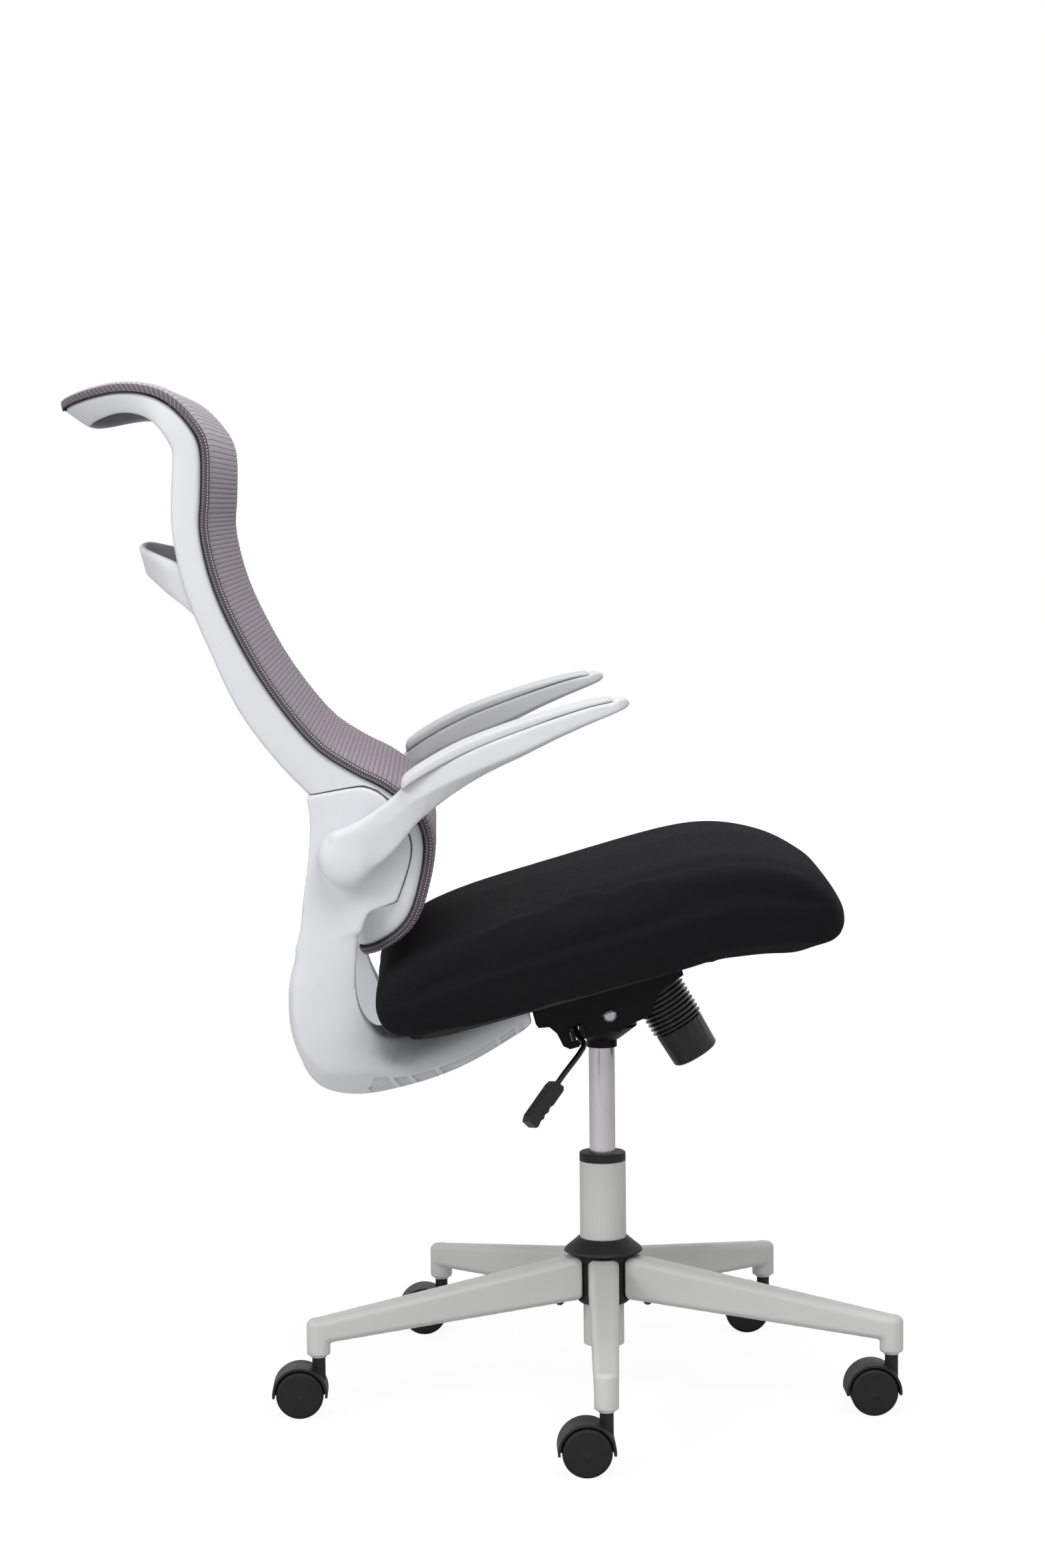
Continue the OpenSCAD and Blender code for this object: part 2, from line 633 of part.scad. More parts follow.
module wheels(k) {
    inner = web_t / 2 + web_gap;
    color("black") at_caster(k) for (side = [-1, 1])
        translate([-caster_trail, side * inner, wheel_r]) rotate([-side * 90, 0, 0]) rotate_extrude()
            polygon([[axle_d / 2 + run_fit, 0], [wheel_r - wheel_round / 2, 0], [wheel_r, wheel_round / 2],
                [wheel_r, wheel_t - wheel_round],
                    [wheel_r - wheel_round * 0.3, wheel_t - wheel_round * 0.3],
                [wheel_r - wheel_round, wheel_t], [0, wheel_t + wheel_round / 3], [0, wheel_t * 0.76],
                [axle_d / 2 + run_fit, wheel_t * 0.76]]);
}

module gas_cylinder() {
    color("silver") difference() {
        translate([0, 0, gas_low]) cylinder(d = gas_d, h = gas_top - gas_low);
        translate([0, 0, gas_low + gas_cap])
            cylinder(d = gas_d - 2 * gas_wall, h = gas_top - gas_low - 2 * gas_cap);
        translate([0, 0, gas_low - over]) cylinder(d = rod_d + 2 * run_fit, h = gas_cap + 2 * over);
        translate([0, 0, gas_top - gas_cap - over])
            cylinder(d = button_d + 2 * run_fit, h = gas_cap + 2 * over);
    }
}

module valve_button() {
    color("silver") translate([0, 0, gas_top - gas_cap]) cylinder(d = button_d, h = gas_cap + button_rise);
}

module column_bracket() {
    color("dimgray") difference() {
        union() {
            rotate_extrude() polygon([[0, collar_z], [bracket_collar_d / 2, collar_z],
                [bracket_collar_d / 2, collar_z + bracket_collar],
                [bracket_collar_d / 2 + mech_wall, collar_z + bracket_collar],
                [bracket_d / 2, bracket_top - mech_wall], [bracket_d / 2, bracket_top], [0, bracket_top]]);
            for (side = [-1, 1]) translate([pivot_x, side * (ear_out - ear_t / 2), 0]) {
                translate([0, 0, pivot_z]) rotate([90, 0, 0]) cylinder(d = ear_d, h = ear_t, center = true);
                translate([-ear_d / 2, -ear_t / 2, bracket_top - mech_wall])
                    cube([ear_d, ear_t, pivot_z - bracket_top + mech_wall]);
            }
        }
        translate([0, 0, collar_z - over])
            cylinder(d = gas_d + 2 * run_fit, h = bracket_top - collar_z + 2 * over);
        translate([pivot_x, ear_out + over, pivot_z]) rotate([90, 0, 0])
            cylinder(d = bolt_d + 2 * run_fit, h = 2 * (ear_out + over));
        translate([-bracket_d, -bracket_d, collar_z - over])
            cube([bracket_d - cup_back, 2 * bracket_d, bracket_top]);
        translate([-bracket_d, -arm_slot / 2 - lever_slide, bracket_top - arm_slot])
            cube([bracket_d, arm_slot + lever_slide, bracket_top]);
    }
}

module mech_outline() {
    polygon([for (p = mech_shares) [mech_rear + mech_length * p[0], mech_top - mech_depth * p[1]]]);
}

module bolt_places(table, length, width) {
    for (p = table) for (side = [-1, 1]) translate([p[0] * length, side * p[1] * width, 0]) children();
}

module mech_housing() {
    color("black") reclined() difference() {
        union() {
            for (side = [-1, 1]) translate([0, side * (mech_width - mech_wall) / 2 + mech_wall / 2, 0])
                rotate([90, 0, 0]) linear_extrude(mech_wall) mech_outline();
            translate([mech_rear, -flange_width / 2, mech_top - seat_gap - mech_wall])
                cube([mech_length, flange_width, mech_wall]);
            translate([mech_rear, -mech_width / 2, mech_top - mech_depth / 2])
                cube([mech_wall, mech_width, mech_depth / 2 - mech_wall]);
            knob_axis() translate([-bellows_d / 2, -mech_width / 2, bellows_length + bellows_gap])
                cube([bellows_d, mech_width, mech_wall]);
        }
        translate([pivot_x, mech_width, pivot_z]) rotate([90, 0, 0])
            cylinder(d = bolt_d + 2 * run_fit, h = 2 * mech_width);
        translate([mech_rear, 0, mech_top - 2 * mech_wall])
            bolt_places(flange_hole_shares, mech_length, flange_width)
                cylinder(d = seat_bolt_d + 2 * run_fit, h = 3 * mech_wall);
        knob_axis() translate([0, 0, bellows_length - over])
            cylinder(d = knob_bolt_d + 2 * run_fit, h = mech_wall + 3 * over);
        translate([lever_x, -mech_width / 2, lever_z])
            cube([bush_size + seat_gap, 4 * mech_wall, bush_size + seat_gap], center = true);
    }
}

module pivot_bolt() {
    half = mech_width / 2;
    color("silver") reclined() translate([pivot_x, 0, pivot_z]) rotate([90, 0, 0]) union() {
        translate([0, 0, -half - nut_t]) cylinder(d = bolt_d, h = 2 * half + nut_t + bolt_head_t / 2);
        translate([0, 0, half]) rotate_extrude() polygon([[0, 0], [bolt_head_d / 2, 0],
            [bolt_head_d / 2, bolt_head_t * 0.3], [bolt_head_d * 0.36, bolt_head_t * 0.8],
            [bolt_head_d * 0.2, bolt_head_t], [0, bolt_head_t]]);
        translate([0, 0, -half - nut_t]) cylinder(d = nut_d, h = nut_t, $fn = 6);
    }
}

// Frame with +Z up along the knob's leaning axis, from the top face of the knob
module knob_axis() {
    translate([knob_x, 0, knob_z]) rotate([0, -knob_lean, 0]) children();
}

module tension_knob() {
    r = knob_d / 2;
    color("black") reclined() knob_axis() difference() {
        rotate_extrude() polygon([[0, -knob_length], [r - 2 * knob_taper - knob_chamfer, -knob_length],
            [r - knob_taper - knob_chamfer / 2, -knob_length + 1.5 * knob_taper],
            [r - knob_taper, -knob_length + 3 * knob_taper], [r, -knob_taper], [r - knob_taper, 0],
                [0, 0]]);
        for (i = [0:knob_grooves - 1]) rotate([0, 0, i * 360 / knob_grooves])
            translate([r + groove_d * 0.1, 0, -knob_length * 0.86])
                cylinder(d = groove_d, h = knob_length, $fn = 16);
        translate([0, 0, -knob_length / 2]) cylinder(d = knob_bolt_d + 2 * run_fit, h = knob_length);
    }
}

module knob_bolt() {
    color("silver") reclined() knob_axis() translate([0, 0, -knob_length / 2])
        cylinder(d = knob_bolt_d, h = knob_length / 2 + bolt_reach);
}

module bellows() {
    r = bellows_d / 2;
    pitch = (bellows_length - bellows_gap) / (bellows_ribs + 1);
    outer = [for (i = [0:bellows_ribs]) each [[r - bellows_rib, bellows_gap + i * pitch],
        [r - bellows_rib, bellows_gap + (i + 0.25) * pitch], [r, bellows_gap + (i + 0.45) * pitch],
        [r, bellows_gap + (i + 0.6) * pitch], [r - bellows_rib, bellows_gap + (i + 0.8) * pitch]]];
    inner = [for (p = outer) [p[0] - bellows_wall, p[1]]];
    last = [[r - bellows_rib, bellows_length], [r - bellows_rib - bellows_wall, bellows_length]];
    color("black") reclined() knob_axis() rotate_extrude() polygon(concat(outer, last, backwards(inner)));
}

module tension_spring() {
    rise = (bellows_length - 2 * bellows_gap - spring_wire) / spring_turns;
    steps = spring_turns * ring_steps;
    rings = [for (i = [0:steps]) let (a = i * 360 / ring_steps) [for (j = [0:wire_sides - 1])
        let (b = j * 360 / wire_sides, q = spring_d / 2 + spring_wire / 2 * cos(b))
        [q * cos(a), q * sin(a),
            bellows_gap + spring_wire / 2 + rise * i / ring_steps + spring_wire / 2 * sin(b)]]];
    echo(spring_gap = rise - spring_wire);
    color("silver") reclined() knob_axis() loft([for (r = rings) backwards(r)]);
}

module rounded_plate(x, length, width, r, t) {
    linear_extrude(t) hull() for (px = [x + r, x + length - r]) for (py = [-width / 2 + r, width / 2 - r])
        translate([px, py]) circle(r = r, $fn = 32);
}

module board_form(grow) {
    translate([0, 0, seat_low - (grow > 0 ? over : 0)])
        rounded_plate(board_rear - grow, board_length + 2 * grow, board_width + 2 * grow, board_round,
            board_t + grow + (grow > 0 ? over : 0));
}

module seat_board() {
    color("tan") reclined() difference() {
        board_form(0);
        translate([mech_rear, 0, seat_low - over])
            bolt_places(flange_hole_shares, mech_length, flange_width)
            cylinder(d = seat_bolt_d + 2 * run_fit, h = board_bite + 2 * over);
        translate([strut_front, 0, seat_low - over]) bolt_places(strut_bolt_shares, -strut_x, strut_half)
            cylinder(d = seat_bolt_d + 2 * run_fit, h = board_bite + 2 * over);
    }
}

module seat_bolt(grip) {
    translate([0, 0, seat_low - grip - seat_bolt_head_t])
        cylinder(d = seat_bolt_head_d, h = seat_bolt_head_t, $fn = 6);
    translate([0, 0, seat_low - grip - seat_bolt_head_t])
        cylinder(d = seat_bolt_d, h = grip + seat_bolt_head_t + board_bite);
}

module seat_bolts() {
    color("dimgray") reclined() translate([mech_rear, 0, 0])
        bolt_places(flange_hole_shares, mech_length, flange_width) seat_bolt(mech_wall + 2 * seat_gap);
}

// One ring of the cushion at station p, as seen along the seat
function cushion_ring(p) =
    let (x = seat_rear + seat_length * p[0], w = seat_width / 2 * p[1], top = seat_low + seat_rise * p[2],
        low = seat_low + seat_rise * p[3], h = top - low, crown = seat_crown * max(0, p[2]),
        upper = [for (q = cushion_ring_shares)
            [x, w * q[0], low + h * q[1] + crown * pow(max(0, 1 - q[0] / crown_reach), crown_reach)]],
        under = [for (q = cushion_under_shares)
            [x, w * q[0] - seat_tuck * (1 - q[1]) * q[0], low + h * q[1]]],
        near_upper = [for (i = [len(upper) - 2:-1:0]) [upper[i][0], -upper[i][1], upper[i][2]]],
        near_under = [for (i = [0:len(under) - 2]) [under[i][0], -under[i][1], under[i][2]]])
    concat(upper, near_upper, near_under, [for (i = [len(under) - 1:-1:0]) under[i]]);

module seat_cushion() {
    color("black") reclined() difference() {
        loft([for (p = resample(cushion_shares, 30)) cushion_ring(p)]);
        board_form(seat_gap);
    }
}

module lever_bush() {
    color("dimgray") reclined() difference() {
        translate([lever_x - bush_size / 2, -bush_out, lever_z - bush_size / 2])
            cube([bush_size, bush_out - bush_in, bush_size]);
        translate([lever_x - lever_slot / 2, -bush_out - over, lever_z - bush_size])
            cube([lever_slot, bush_out - bush_in + 2 * over, 2 * bush_size]);
    }
    color("silver") reclined() translate([lever_x - bush_size / 2, -(bush_out + bush_in) / 2, lever_z])
        rotate([0, 90, 0]) cylinder(d = lever_pin_d, h = bush_size);
}

// Ring of a round rod of diameter d about point i of a path
function rod_ring(path, i, d) =
    let (t = row(path, i + 1) - row(path, i - 1), u = cross(t, [1, 0, 0]), v = cross(t, u), p = path[i])
    [for (j = [0:rod_sides - 1]) let (a = j * 360 / rod_sides)
        p + d / 2 * (cos(a) * u / norm(u) + sin(a) * v / norm(v))];

function lever_point(p) =
    [lever_x + lever_span * p[0], -bush_out - seat_gap + lever_span * p[1], lever_z + lever_span * p[2]];

module lever_rod() {
    route = resample([for (p = lever_route_shares) lever_point(p)], rod_steps);
    eye_y = -(bush_out + bush_in) / 2;
    bar = lever_eye_t;
    arm_z = lever_z + lever_lift;
    color("black") reclined() difference() {
        union() {
            translate([lever_x - bar / 2, eye_y, lever_z]) rotate([0, 90, 0])
                cylinder(d = lever_eye_d, h = bar);
            translate([lever_x - bar / 2, -bush_out - seat_gap - over, lever_z - bar / 2])
                cube([bar, eye_y + bush_out + seat_gap + over, bar]);
            translate([lever_x - bar / 2, eye_y, lever_z - bar / 2])
                cube([bar, lever_step_y - eye_y + bar, bar]);
            translate([lever_x - bar / 2, lever_step_y, lever_z - bar / 2])
                cube([bar, bar, lever_lift + 1.5 * bar]);
            translate([lever_x - bar / 2, lever_step_y, arm_z]) cube([bar, bar / 2 - lever_step_y, bar]);
            translate([lever_x - bar / 2, -bar / 2, arm_z]) cube([bar / 2 - lever_x, bar, bar]);
            translate([-1.5 * bar, -bar / 2, arm_z - nose_drop]) cube([1.5 * bar, bar + lever_slide, bar]);
            loft([for (i = [0:rod_steps]) rod_ring(route, i, lever_wire)]);
        }
        translate([lever_x - bush_size, eye_y, lever_z]) rotate([0, 90, 0])
            cylinder(d = lever_pin_d + 2 * run_fit, h = 2 * bush_size);
    }
}

// Paddle frame: +X runs along the last stretch of the rod
module at_paddle() {
    a = lever_point(row(lever_route_shares, len(lever_route_shares) - 2));
    b = lever_point(row(lever_route_shares, len(lever_route_shares) - 1));
    v = b - a;
    translate(b) rotate([0, -asin(v[2] / norm(v)), atan2(v[1], v[0])]) children();
}

module lever_paddle() {
    color("black") reclined() difference() {
        at_paddle() translate([-paddle_length * 0.35, paddle_width / 2, 0]) rotate([90, 0, 0])
            linear_extrude(paddle_width)
                polygon([for (p = paddle_shares) [paddle_length * p[0], paddle_t * p[1]]]);
        at_paddle() translate([-paddle_length / 2, 0, 0]) rotate([0, 90, 0])
            cylinder(d = lever_wire + 2 * seat_gap, h = paddle_length / 2 + seat_gap);
    }
}

// Rails of the back: the front line, its running length and its depth behind the line
back_line = [for (p = resample(back_shares, back_steps))
    [back_x + back_unit * p[0], back_z + back_rise * p[1], rail_depth * p[2]]];
back_run = running([for (p = back_line) [p[0], p[1]]]);
back_total = back_run[back_steps];
x_by_run = [for (i = [0:back_steps]) [back_run[i], back_line[i][0]]];
z_by_run = [for (i = [0:back_steps]) [back_run[i], back_line[i][1]]];
d_by_run = [for (i = [0:back_steps]) [back_run[i], back_line[i][2]]];
function along(s) = [lookup(s, x_by_run), lookup(s, z_by_run)];
function heading(s) =
    let (e = back_total / back_steps, v = along(min(s + e, back_total)) - along(max(s - e, 0))) v / norm(v);
// Point on the back at running length s, side y and height h in front of the rails' line
function back_point(s, y, h) =
    let (t = heading(s), p = along(s)) [p[0] + h * t[1], y, p[1] - h * t[0]];

// One rounded corner of the loop: its centre at [s, y], its reach along s and y, from turn a0 on
function corner_turns(cs, cy, rs, ry, a0) = [for (i = [1:corner_stations])
    let (a = a0 + 90 * i / corner_stations, first = a0 % 180 == 0 ? rs : ry,
        second = a0 % 180 == 0 ? ry : rs)
        [cs + rs * sin(a), cy + ry * cos(a), a0 + atan2(sin(a - a0) / first, cos(a - a0) / second)]];

// Stations round the loop of the frame as [s, y, turn], the turn being 0 along the upward side at +y
function loop_stations(low, high, half) =
    let (side_low = low + low_corner, side_high = high - head_length, low_y = half - low_corner)
    concat(
        [for (i = [0:rail_stations]) [side_low + (side_high - side_low) * i / rail_stations, half, 0]],
        corner_turns(side_high, head_bar, head_length, half - head_bar, 0),
        [for (i = [1:bar_stations]) [high, head_bar * (1 - 2 * i / bar_stations), 90]],
        corner_turns(side_high, -head_bar, head_length, half - head_bar, 90),
        [for (i = [1:rail_stations]) [side_high - (side_high - side_low) * i / rail_stations, -half, 180]],
        corner_turns(side_low, -low_y, low_corner, low_corner, 180),
        [for (i = [1:bar_stations]) [low, low_y * (-1 + 2 * i / bar_stations), 270]],
        [for (p = corner_turns(side_low, low_y, low_corner, low_corner, 270)) if (p[2] < 359) p]);

function frame_ring(p) = [for (q = rail_ring_shares)
    let (out = q[0] + head_lean * max(0, sin(p[2])) * q[1] * (q[0] + 0.5),
        s = p[0] + rail_width * out * sin(p[2]),
        y = p[1] + rail_width * out * cos(p[2]), d = lookup(p[0], d_by_run)) back_point(s, y, d * q[1])];

function strut_place(p) = [strut_front - strut_x * p[0], strut_floor + strut_z * p[1]];

module cheek_outline() {
    polygon([for (p = cheek_shares) strut_place(p)]);
}

module recess_outline() {
    cheek = [for (p = cheek_shares) strut_place(p)];
    middle = strut_place([0.52, 0.8]);
    polygon([for (p = cheek) let (v = p - middle) p + recess_gap * v / norm(v)]);
}

module back_frame() {
    inset = rail_width / 2;
    recess_in = strut_half - cheek_t - seat_gap;
    color("gainsboro") reclined() difference() {
        closed_loft([for (p = loop_stations(inset, back_total - inset, back_width / 2 - inset))
            frame_ring(p)]);
        for (side = [-1, 1]) translate([0, side > 0 ? strut_half : -recess_in, 0]) rotate([90, 0, 0])
            linear_extrude(cheek_t + seat_gap) recess_outline();
        cheek_screw_places() cylinder(d = screw_d + 2 * run_fit, h = rail_width + over);
        for (side = [-1, 1])
            translate([hanger_x - rail_depth,
                side * (hanger_half - hanger_t / 2) - hanger_t / 2 - hanger_fit,
                hanger_z - hanger_fit])
                    cube([rail_depth + hanger_tenon + hanger_fit, hanger_t + 2 * hanger_fit,
                    hanger_rise * hanger_shares[0][3] + 2 * hanger_fit]);
    }
}

function mesh_half(s) =
    let (half = back_width / 2, low_r = low_corner + rail_width / 2, head_r = head_length + rail_width / 2,
        a = max(0, low_r - s) / low_r, b = max(0, head_r - back_total + s) / head_r)
    half - low_r * (1 - sqrt(max(0, 1 - a * a))) - (half - head_bar) * (1 - sqrt(max(0, 1 - b * b)));

function mesh_ring(s) =
    let (w = mesh_half(s), top = mesh_proud, face = top - mesh_step, side = [
        [w, seat_gap], [w, top - mesh_edge], [w - mesh_edge, top], [w - band_width, top],
        [w - band_width - mesh_edge, face], [(w - band_width) / 2, face], [0, face]],
        under = [[(w - band_width) / 2, face - mesh_t], [w - rail_width - 2 * mesh_edge, face - mesh_t],
            [w - rail_width, seat_gap]])
    [for (q = concat(side, [for (i = [len(side) - 2:-1:0]) [-side[i][0], side[i][1]]],
        [for (i = [2:-1:0]) [-under[i][0], under[i][1]]], [[0, face - mesh_t]], under))
        back_point(s, q[0], q[1])];

module back_mesh() {
    span = back_total - 2 * mesh_end;
    low_end = rail_width / 2 + low_corner - mesh_end;
    high_end = back_total - rail_width / 2 - head_length - mesh_end;
    last = mesh_end_shares[len(mesh_end_shares) - 1];
    places = concat([for (u = mesh_end_shares) low_end * u],
        [for (i = [1:mesh_low_stations]) low_end * (last + (1 - last) * i / mesh_low_stations)],
        [for (i = [1:rail_stations]) low_end + (high_end - low_end) * i / rail_stations],
        [for (i = [1:mesh_high_stations - 1])
            high_end + (span - high_end) * (1 - last) * i / mesh_high_stations],
        [for (u = backwards(mesh_end_shares)) span - (span - high_end) * u]);
    color("slategray") reclined() loft([for (s = places) backwards(mesh_ring(mesh_end + s))]);
}

// Ring of the strut at station p: keel, bilge, crease and inner corners on the +y side
function strut_ring(p) =
    let (a = strut_place([p[0], p[1]]), b = strut_place([p[2], p[3]]), y0 = strut_half * p[4],
        y1 = strut_half * p[5],
        keel = strut_half * p[6], edge = (y1 - max(0, y0)) * 0.06)
    [for (q = [[0.05, y0], [0, max(y0, 0) + edge], [0, keel], [p[7] * 0.9, y1 - edge], [p[7] + 0.04, y1],
        [strut_crease_share, y1], [0.9, y1 - 2.5 * edge], [1, y1 - 4 * edge], [1, max(y0, 0) + edge],
            [0.95, y0]])
        let (c = a + (b - a) * q[0]) [c[0], q[1], c[1]]];

module strut_branch() {
    loft([for (p = resample(strut_shares, strut_steps)) backwards(strut_ring(p))]);
}

// Inside of one side of the tray under the seat, open below
pocket_rows = [for (i = [0:pocket_steps])
    curve(strut_shares, pocket_first + (pocket_last - pocket_first) * i / pocket_steps)];
function pocket_ring(p) =
    let (a = strut_place([p[0], p[1]]), b = strut_place([p[2], p[3]]), roof = 1 - 2 * skin_t / norm(b - a),
        y0 = p[4] > 0 ? strut_half * p[4] + rim_t : -over, y1 = strut_half * p[5] - rim_t)
    [for (q = [[-pocket_mouth, y0], [-pocket_mouth, y1], [roof * 0.6, y1],
        [roof, y0 + (y1 - y0) * 0.85], [roof, y0]])
        let (c = a + (b - a) * q[0]) [c[0], q[1], c[1]]];

// Lengthwise rib of the tray, from the keel line at 0 to the side wall at 1
module strut_web(share) {
    loft([for (p = pocket_rows)
        let (a = strut_place([p[0], p[1]]), b = strut_place([p[2], p[3]]),
            y = strut_half * (p[6] + (p[5] - p[6]) * share))
        backwards([for (q = [[-2 * pocket_mouth, -1], [-2 * pocket_mouth, 1], [1, 1], [1, -1]])
            let (c = a + (b - a) * q[0]) [c[0], y + q[1] * rib_t / 2, c[1]]])]);
}

module strut_pockets() {
    for (side = [0, 1]) mirror([0, side, 0]) difference() {
        loft([for (p = pocket_rows) backwards(pocket_ring(p))]);
        for (u = rib_shares)
            translate([strut_front - strut_x * u - rib_t / 2, -over, strut_floor - rib_pitch])
            cube([rib_t, strut_half, 3 * rib_pitch]);
        for (u = web_shares) strut_web(u);
        translate([strut_front - strut_x, -rib_t / 2, strut_floor - rib_pitch])
            cube([strut_x, rib_t, 3 * rib_pitch]);
    }
}

module back_strut() {
    color("gainsboro") reclined() difference() {
        union() {
            strut_branch();
            mirror([0, 1, 0]) strut_branch();
            for (side = [-1, 1]) translate([0, side > 0 ? strut_half : -strut_half + cheek_t, 0])
                rotate([90, 0, 0]) linear_extrude(cheek_t) cheek_outline();
        }
        strut_pockets();
        translate([arm_pivot_x, strut_half + over, arm_pivot_z]) rotate([90, 0, 0])
            cylinder(d = arm_pin_d + 2 * run_fit, h = 2 * (strut_half + over));
        cheek_screw_places() translate([0, 0, -cheek_t * 0.7])
            cylinder(d = screw_d + 2 * run_fit, h = cheek_t);
        translate([strut_front, 0, 0]) bolt_places(strut_bolt_shares, -strut_x, strut_half)
            cylinder(d = seat_bolt_d + 2 * run_fit, h = 2 * seat_low);
    }
}

module strut_bolts() {
    color("dimgray") reclined() translate([strut_front, 0, 0])
        bolt_places(strut_bolt_shares, -strut_x, strut_half) seat_bolt(2 * skin_t + 2 * seat_gap);
}

// Frames of the screws between cheek and frame, +Z pointing to the middle of the chair
cheek_screw_shares = [[0.38, 0.86], [0.40, 0.72]];
module cheek_screw_places() {
    for (p = cheek_screw_shares) for (side = [-1, 1]) let (q = strut_place(p))
        translate([q[0], side * (strut_half - cheek_t - seat_gap), q[1]]) rotate([side * 90, 0, 0])
            children();
}

module cheek_screws() {
    inside = strut_half - cheek_t - seat_gap - (back_width / 2 - rail_width);
    color("dimgray") reclined() cheek_screw_places() {
        translate([0, 0, -cheek_t * 0.65]) cylinder(d = screw_d, h = inside + cheek_t * 0.65 + seat_gap);
        translate([0, 0, inside + seat_gap]) cylinder(d = screw_head_d, h = screw_head_t * 0.8);
    }
}

module arm_pins() {
    color("silver") reclined() for (side = [-1, 1])
        translate([arm_pivot_x, side * (strut_half - cheek_t * 0.9), arm_pivot_z])
            rotate([-side * 90, 0, 0])
            cylinder(d = arm_pin_d, h = cheek_t * 0.9 + dome_t * arm_pin_share);
}

// Top of the arm at each place along it, in shares of the arm's rise
arm_line = resample(arm_shares, arm_steps);
high_by_place = [for (p = arm_line) [p[0], p[2]]];

// Ring of an arm on the +y side at place x, between two heights and about the middle y
function arm_ring(x, table, low, high, inner, middle, half) = [for (q = table)
    [arm_pivot_x + arm_length * x, max(inner, middle + half * q[0]),
        arm_pivot_z + low + (high - low) * q[1]]];

function arm_middle(p) = arm_inside + dome_t / 2 + (pad_offset - arm_inside - dome_t / 2) * p[4];
function arm_half_width(p) = p[3] * (dome_t / 2 + (pad_width - dome_t) / 2 * p[4]);
function mirrored(table) = [for (q = backwards(table)) [-q[0], q[1]]];
function arm_outline(crease) =
    let (side = concat(arm_top_shares, [for (q = arm_low_shares) [q[0], crease + q[1]]], arm_keel_shares))
    concat(side, mirrored(side));

module arm() {
    difference() {
        union() {
            loft([for (p = arm_line) backwards(arm_ring(p[0], arm_outline(p[5]), arm_rise * p[1],
                arm_rise * p[2], arm_inside, arm_middle(p), arm_half_width(p)))]);
            translate([arm_pivot_x, arm_inside, arm_pivot_z]) rotate([-90, 0, 0]) rotate_extrude()
                polygon([[0, 0], [hub_d / 2, 0], [hub_d / 2, dome_t * 0.5], [hub_d * 0.47, dome_t * 0.7],
                    [hub_d * 0.4, dome_t * 0.86], [hub_d * 0.28, dome_t * 0.96], [hub_d * 0.14, dome_t],
                        [0, dome_t]]);
        }
        translate([arm_pivot_x, arm_inside - over, arm_pivot_z]) rotate([-90, 0, 0])
            cylinder(d = arm_pin_d + 2 * run_fit, h = over + dome_t * (arm_pin_share + 0.05));
    }
}

module pad() {
    loft([for (p = resample(pad_shares, pad_steps)) backwards(arm_ring(p[0], pad_ring_shares,
        arm_rise * lookup(p[0], high_by_place) + seat_gap, arm_rise * p[1], 0, pad_offset,
            pad_width / 2 * p[2]))]);
}

module right_arm() { color("gainsboro") reclined() mirror([0, 1, 0]) arm(); }
module right_pad() { color("lightgray") reclined() mirror([0, 1, 0]) pad(); }
module left_arm() { color("gainsboro") reclined() arm(); }
module left_pad() { color("lightgray") reclined() pad(); }

function hanger_half_points() = resample(hanger_shares, hanger_steps);
function hanger_ring(p, q, side) =
    let (x = hanger_x - hanger_reach * p[0] + (p[0] == 0 ? hanger_tenon : 0), y = hanger_half * p[1],
        v = [hanger_reach * (q[0]), hanger_half * q[1]], n = norm(v), nx = -v[1] / n, ny = -v[0] / n,
        low = hanger_z + hanger_rise * p[2], high = hanger_z + hanger_rise * p[3], b = hanger_t * 0.3)
    [for (c = [[0, low + b], [0, high - b], [b, high], [hanger_t - b, high], [hanger_t, high - b],
        [hanger_t, low + b], [hanger_t - b, low], [b, low]])
        [x + c[0] * nx, side * (y + c[0] * ny), c[1]]];

module coat_hanger() {
    pts = hanger_half_points();
    slopes = [for (i = [0:hanger_steps]) i == hanger_steps ? [0.001, -1] :
        [row(pts, i + 1)[0] - row(pts, i - 1)[0], row(pts, i + 1)[1] - row(pts, i - 1)[1]]];
    near = [for (i = [0:hanger_steps]) hanger_ring(pts[i], slopes[i], -1)];
    far = [for (i = [hanger_steps - 1:-1:0]) hanger_ring(pts[i], slopes[i], 1)];
    color("gainsboro") reclined() loft(concat(near, far));
}

base_hub();
hub_cover();
leg(0);  // leg_1
leg(1);  // leg_2
leg(2);  // leg_3
leg(3);  // leg_4
leg(4);  // leg_5
leg_screws();
outer_column();
column_bush();
piston_rod();
thrust_bearing();
column_clip();
hood(0);  // hood_1
hood(1);  // hood_2
hood(2);  // hood_3
hood(3);  // hood_4
hood(4);  // hood_5
caster_pins(0);  // caster_pins_1
caster_pins(1);  // caster_pins_2
caster_pins(2);  // caster_pins_3
caster_pins(3);  // caster_pins_4
caster_pins(4);  // caster_pins_5
wheels(0);  // wheels_1
wheels(1);  // wheels_2
wheels(2);  // wheels_3
wheels(3);  // wheels_4
wheels(4);  // wheels_5
gas_cylinder();
column_bracket();
valve_button();
mech_housing();
pivot_bolt();
tension_spring();
bellows();
tension_knob();
knob_bolt();
seat_board();
seat_bolts();
seat_cushion();
lever_bush();
lever_rod();
lever_paddle();
back_strut();
strut_bolts();
back_frame();
back_mesh();
coat_hanger();
cheek_screws();
arm_pins();
right_arm();
right_pad();
left_arm();
left_pad();
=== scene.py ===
"""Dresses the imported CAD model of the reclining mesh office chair."""

import json
import math

import bmesh
import bpy
import numpy as np
from mathutils import Matrix, Vector

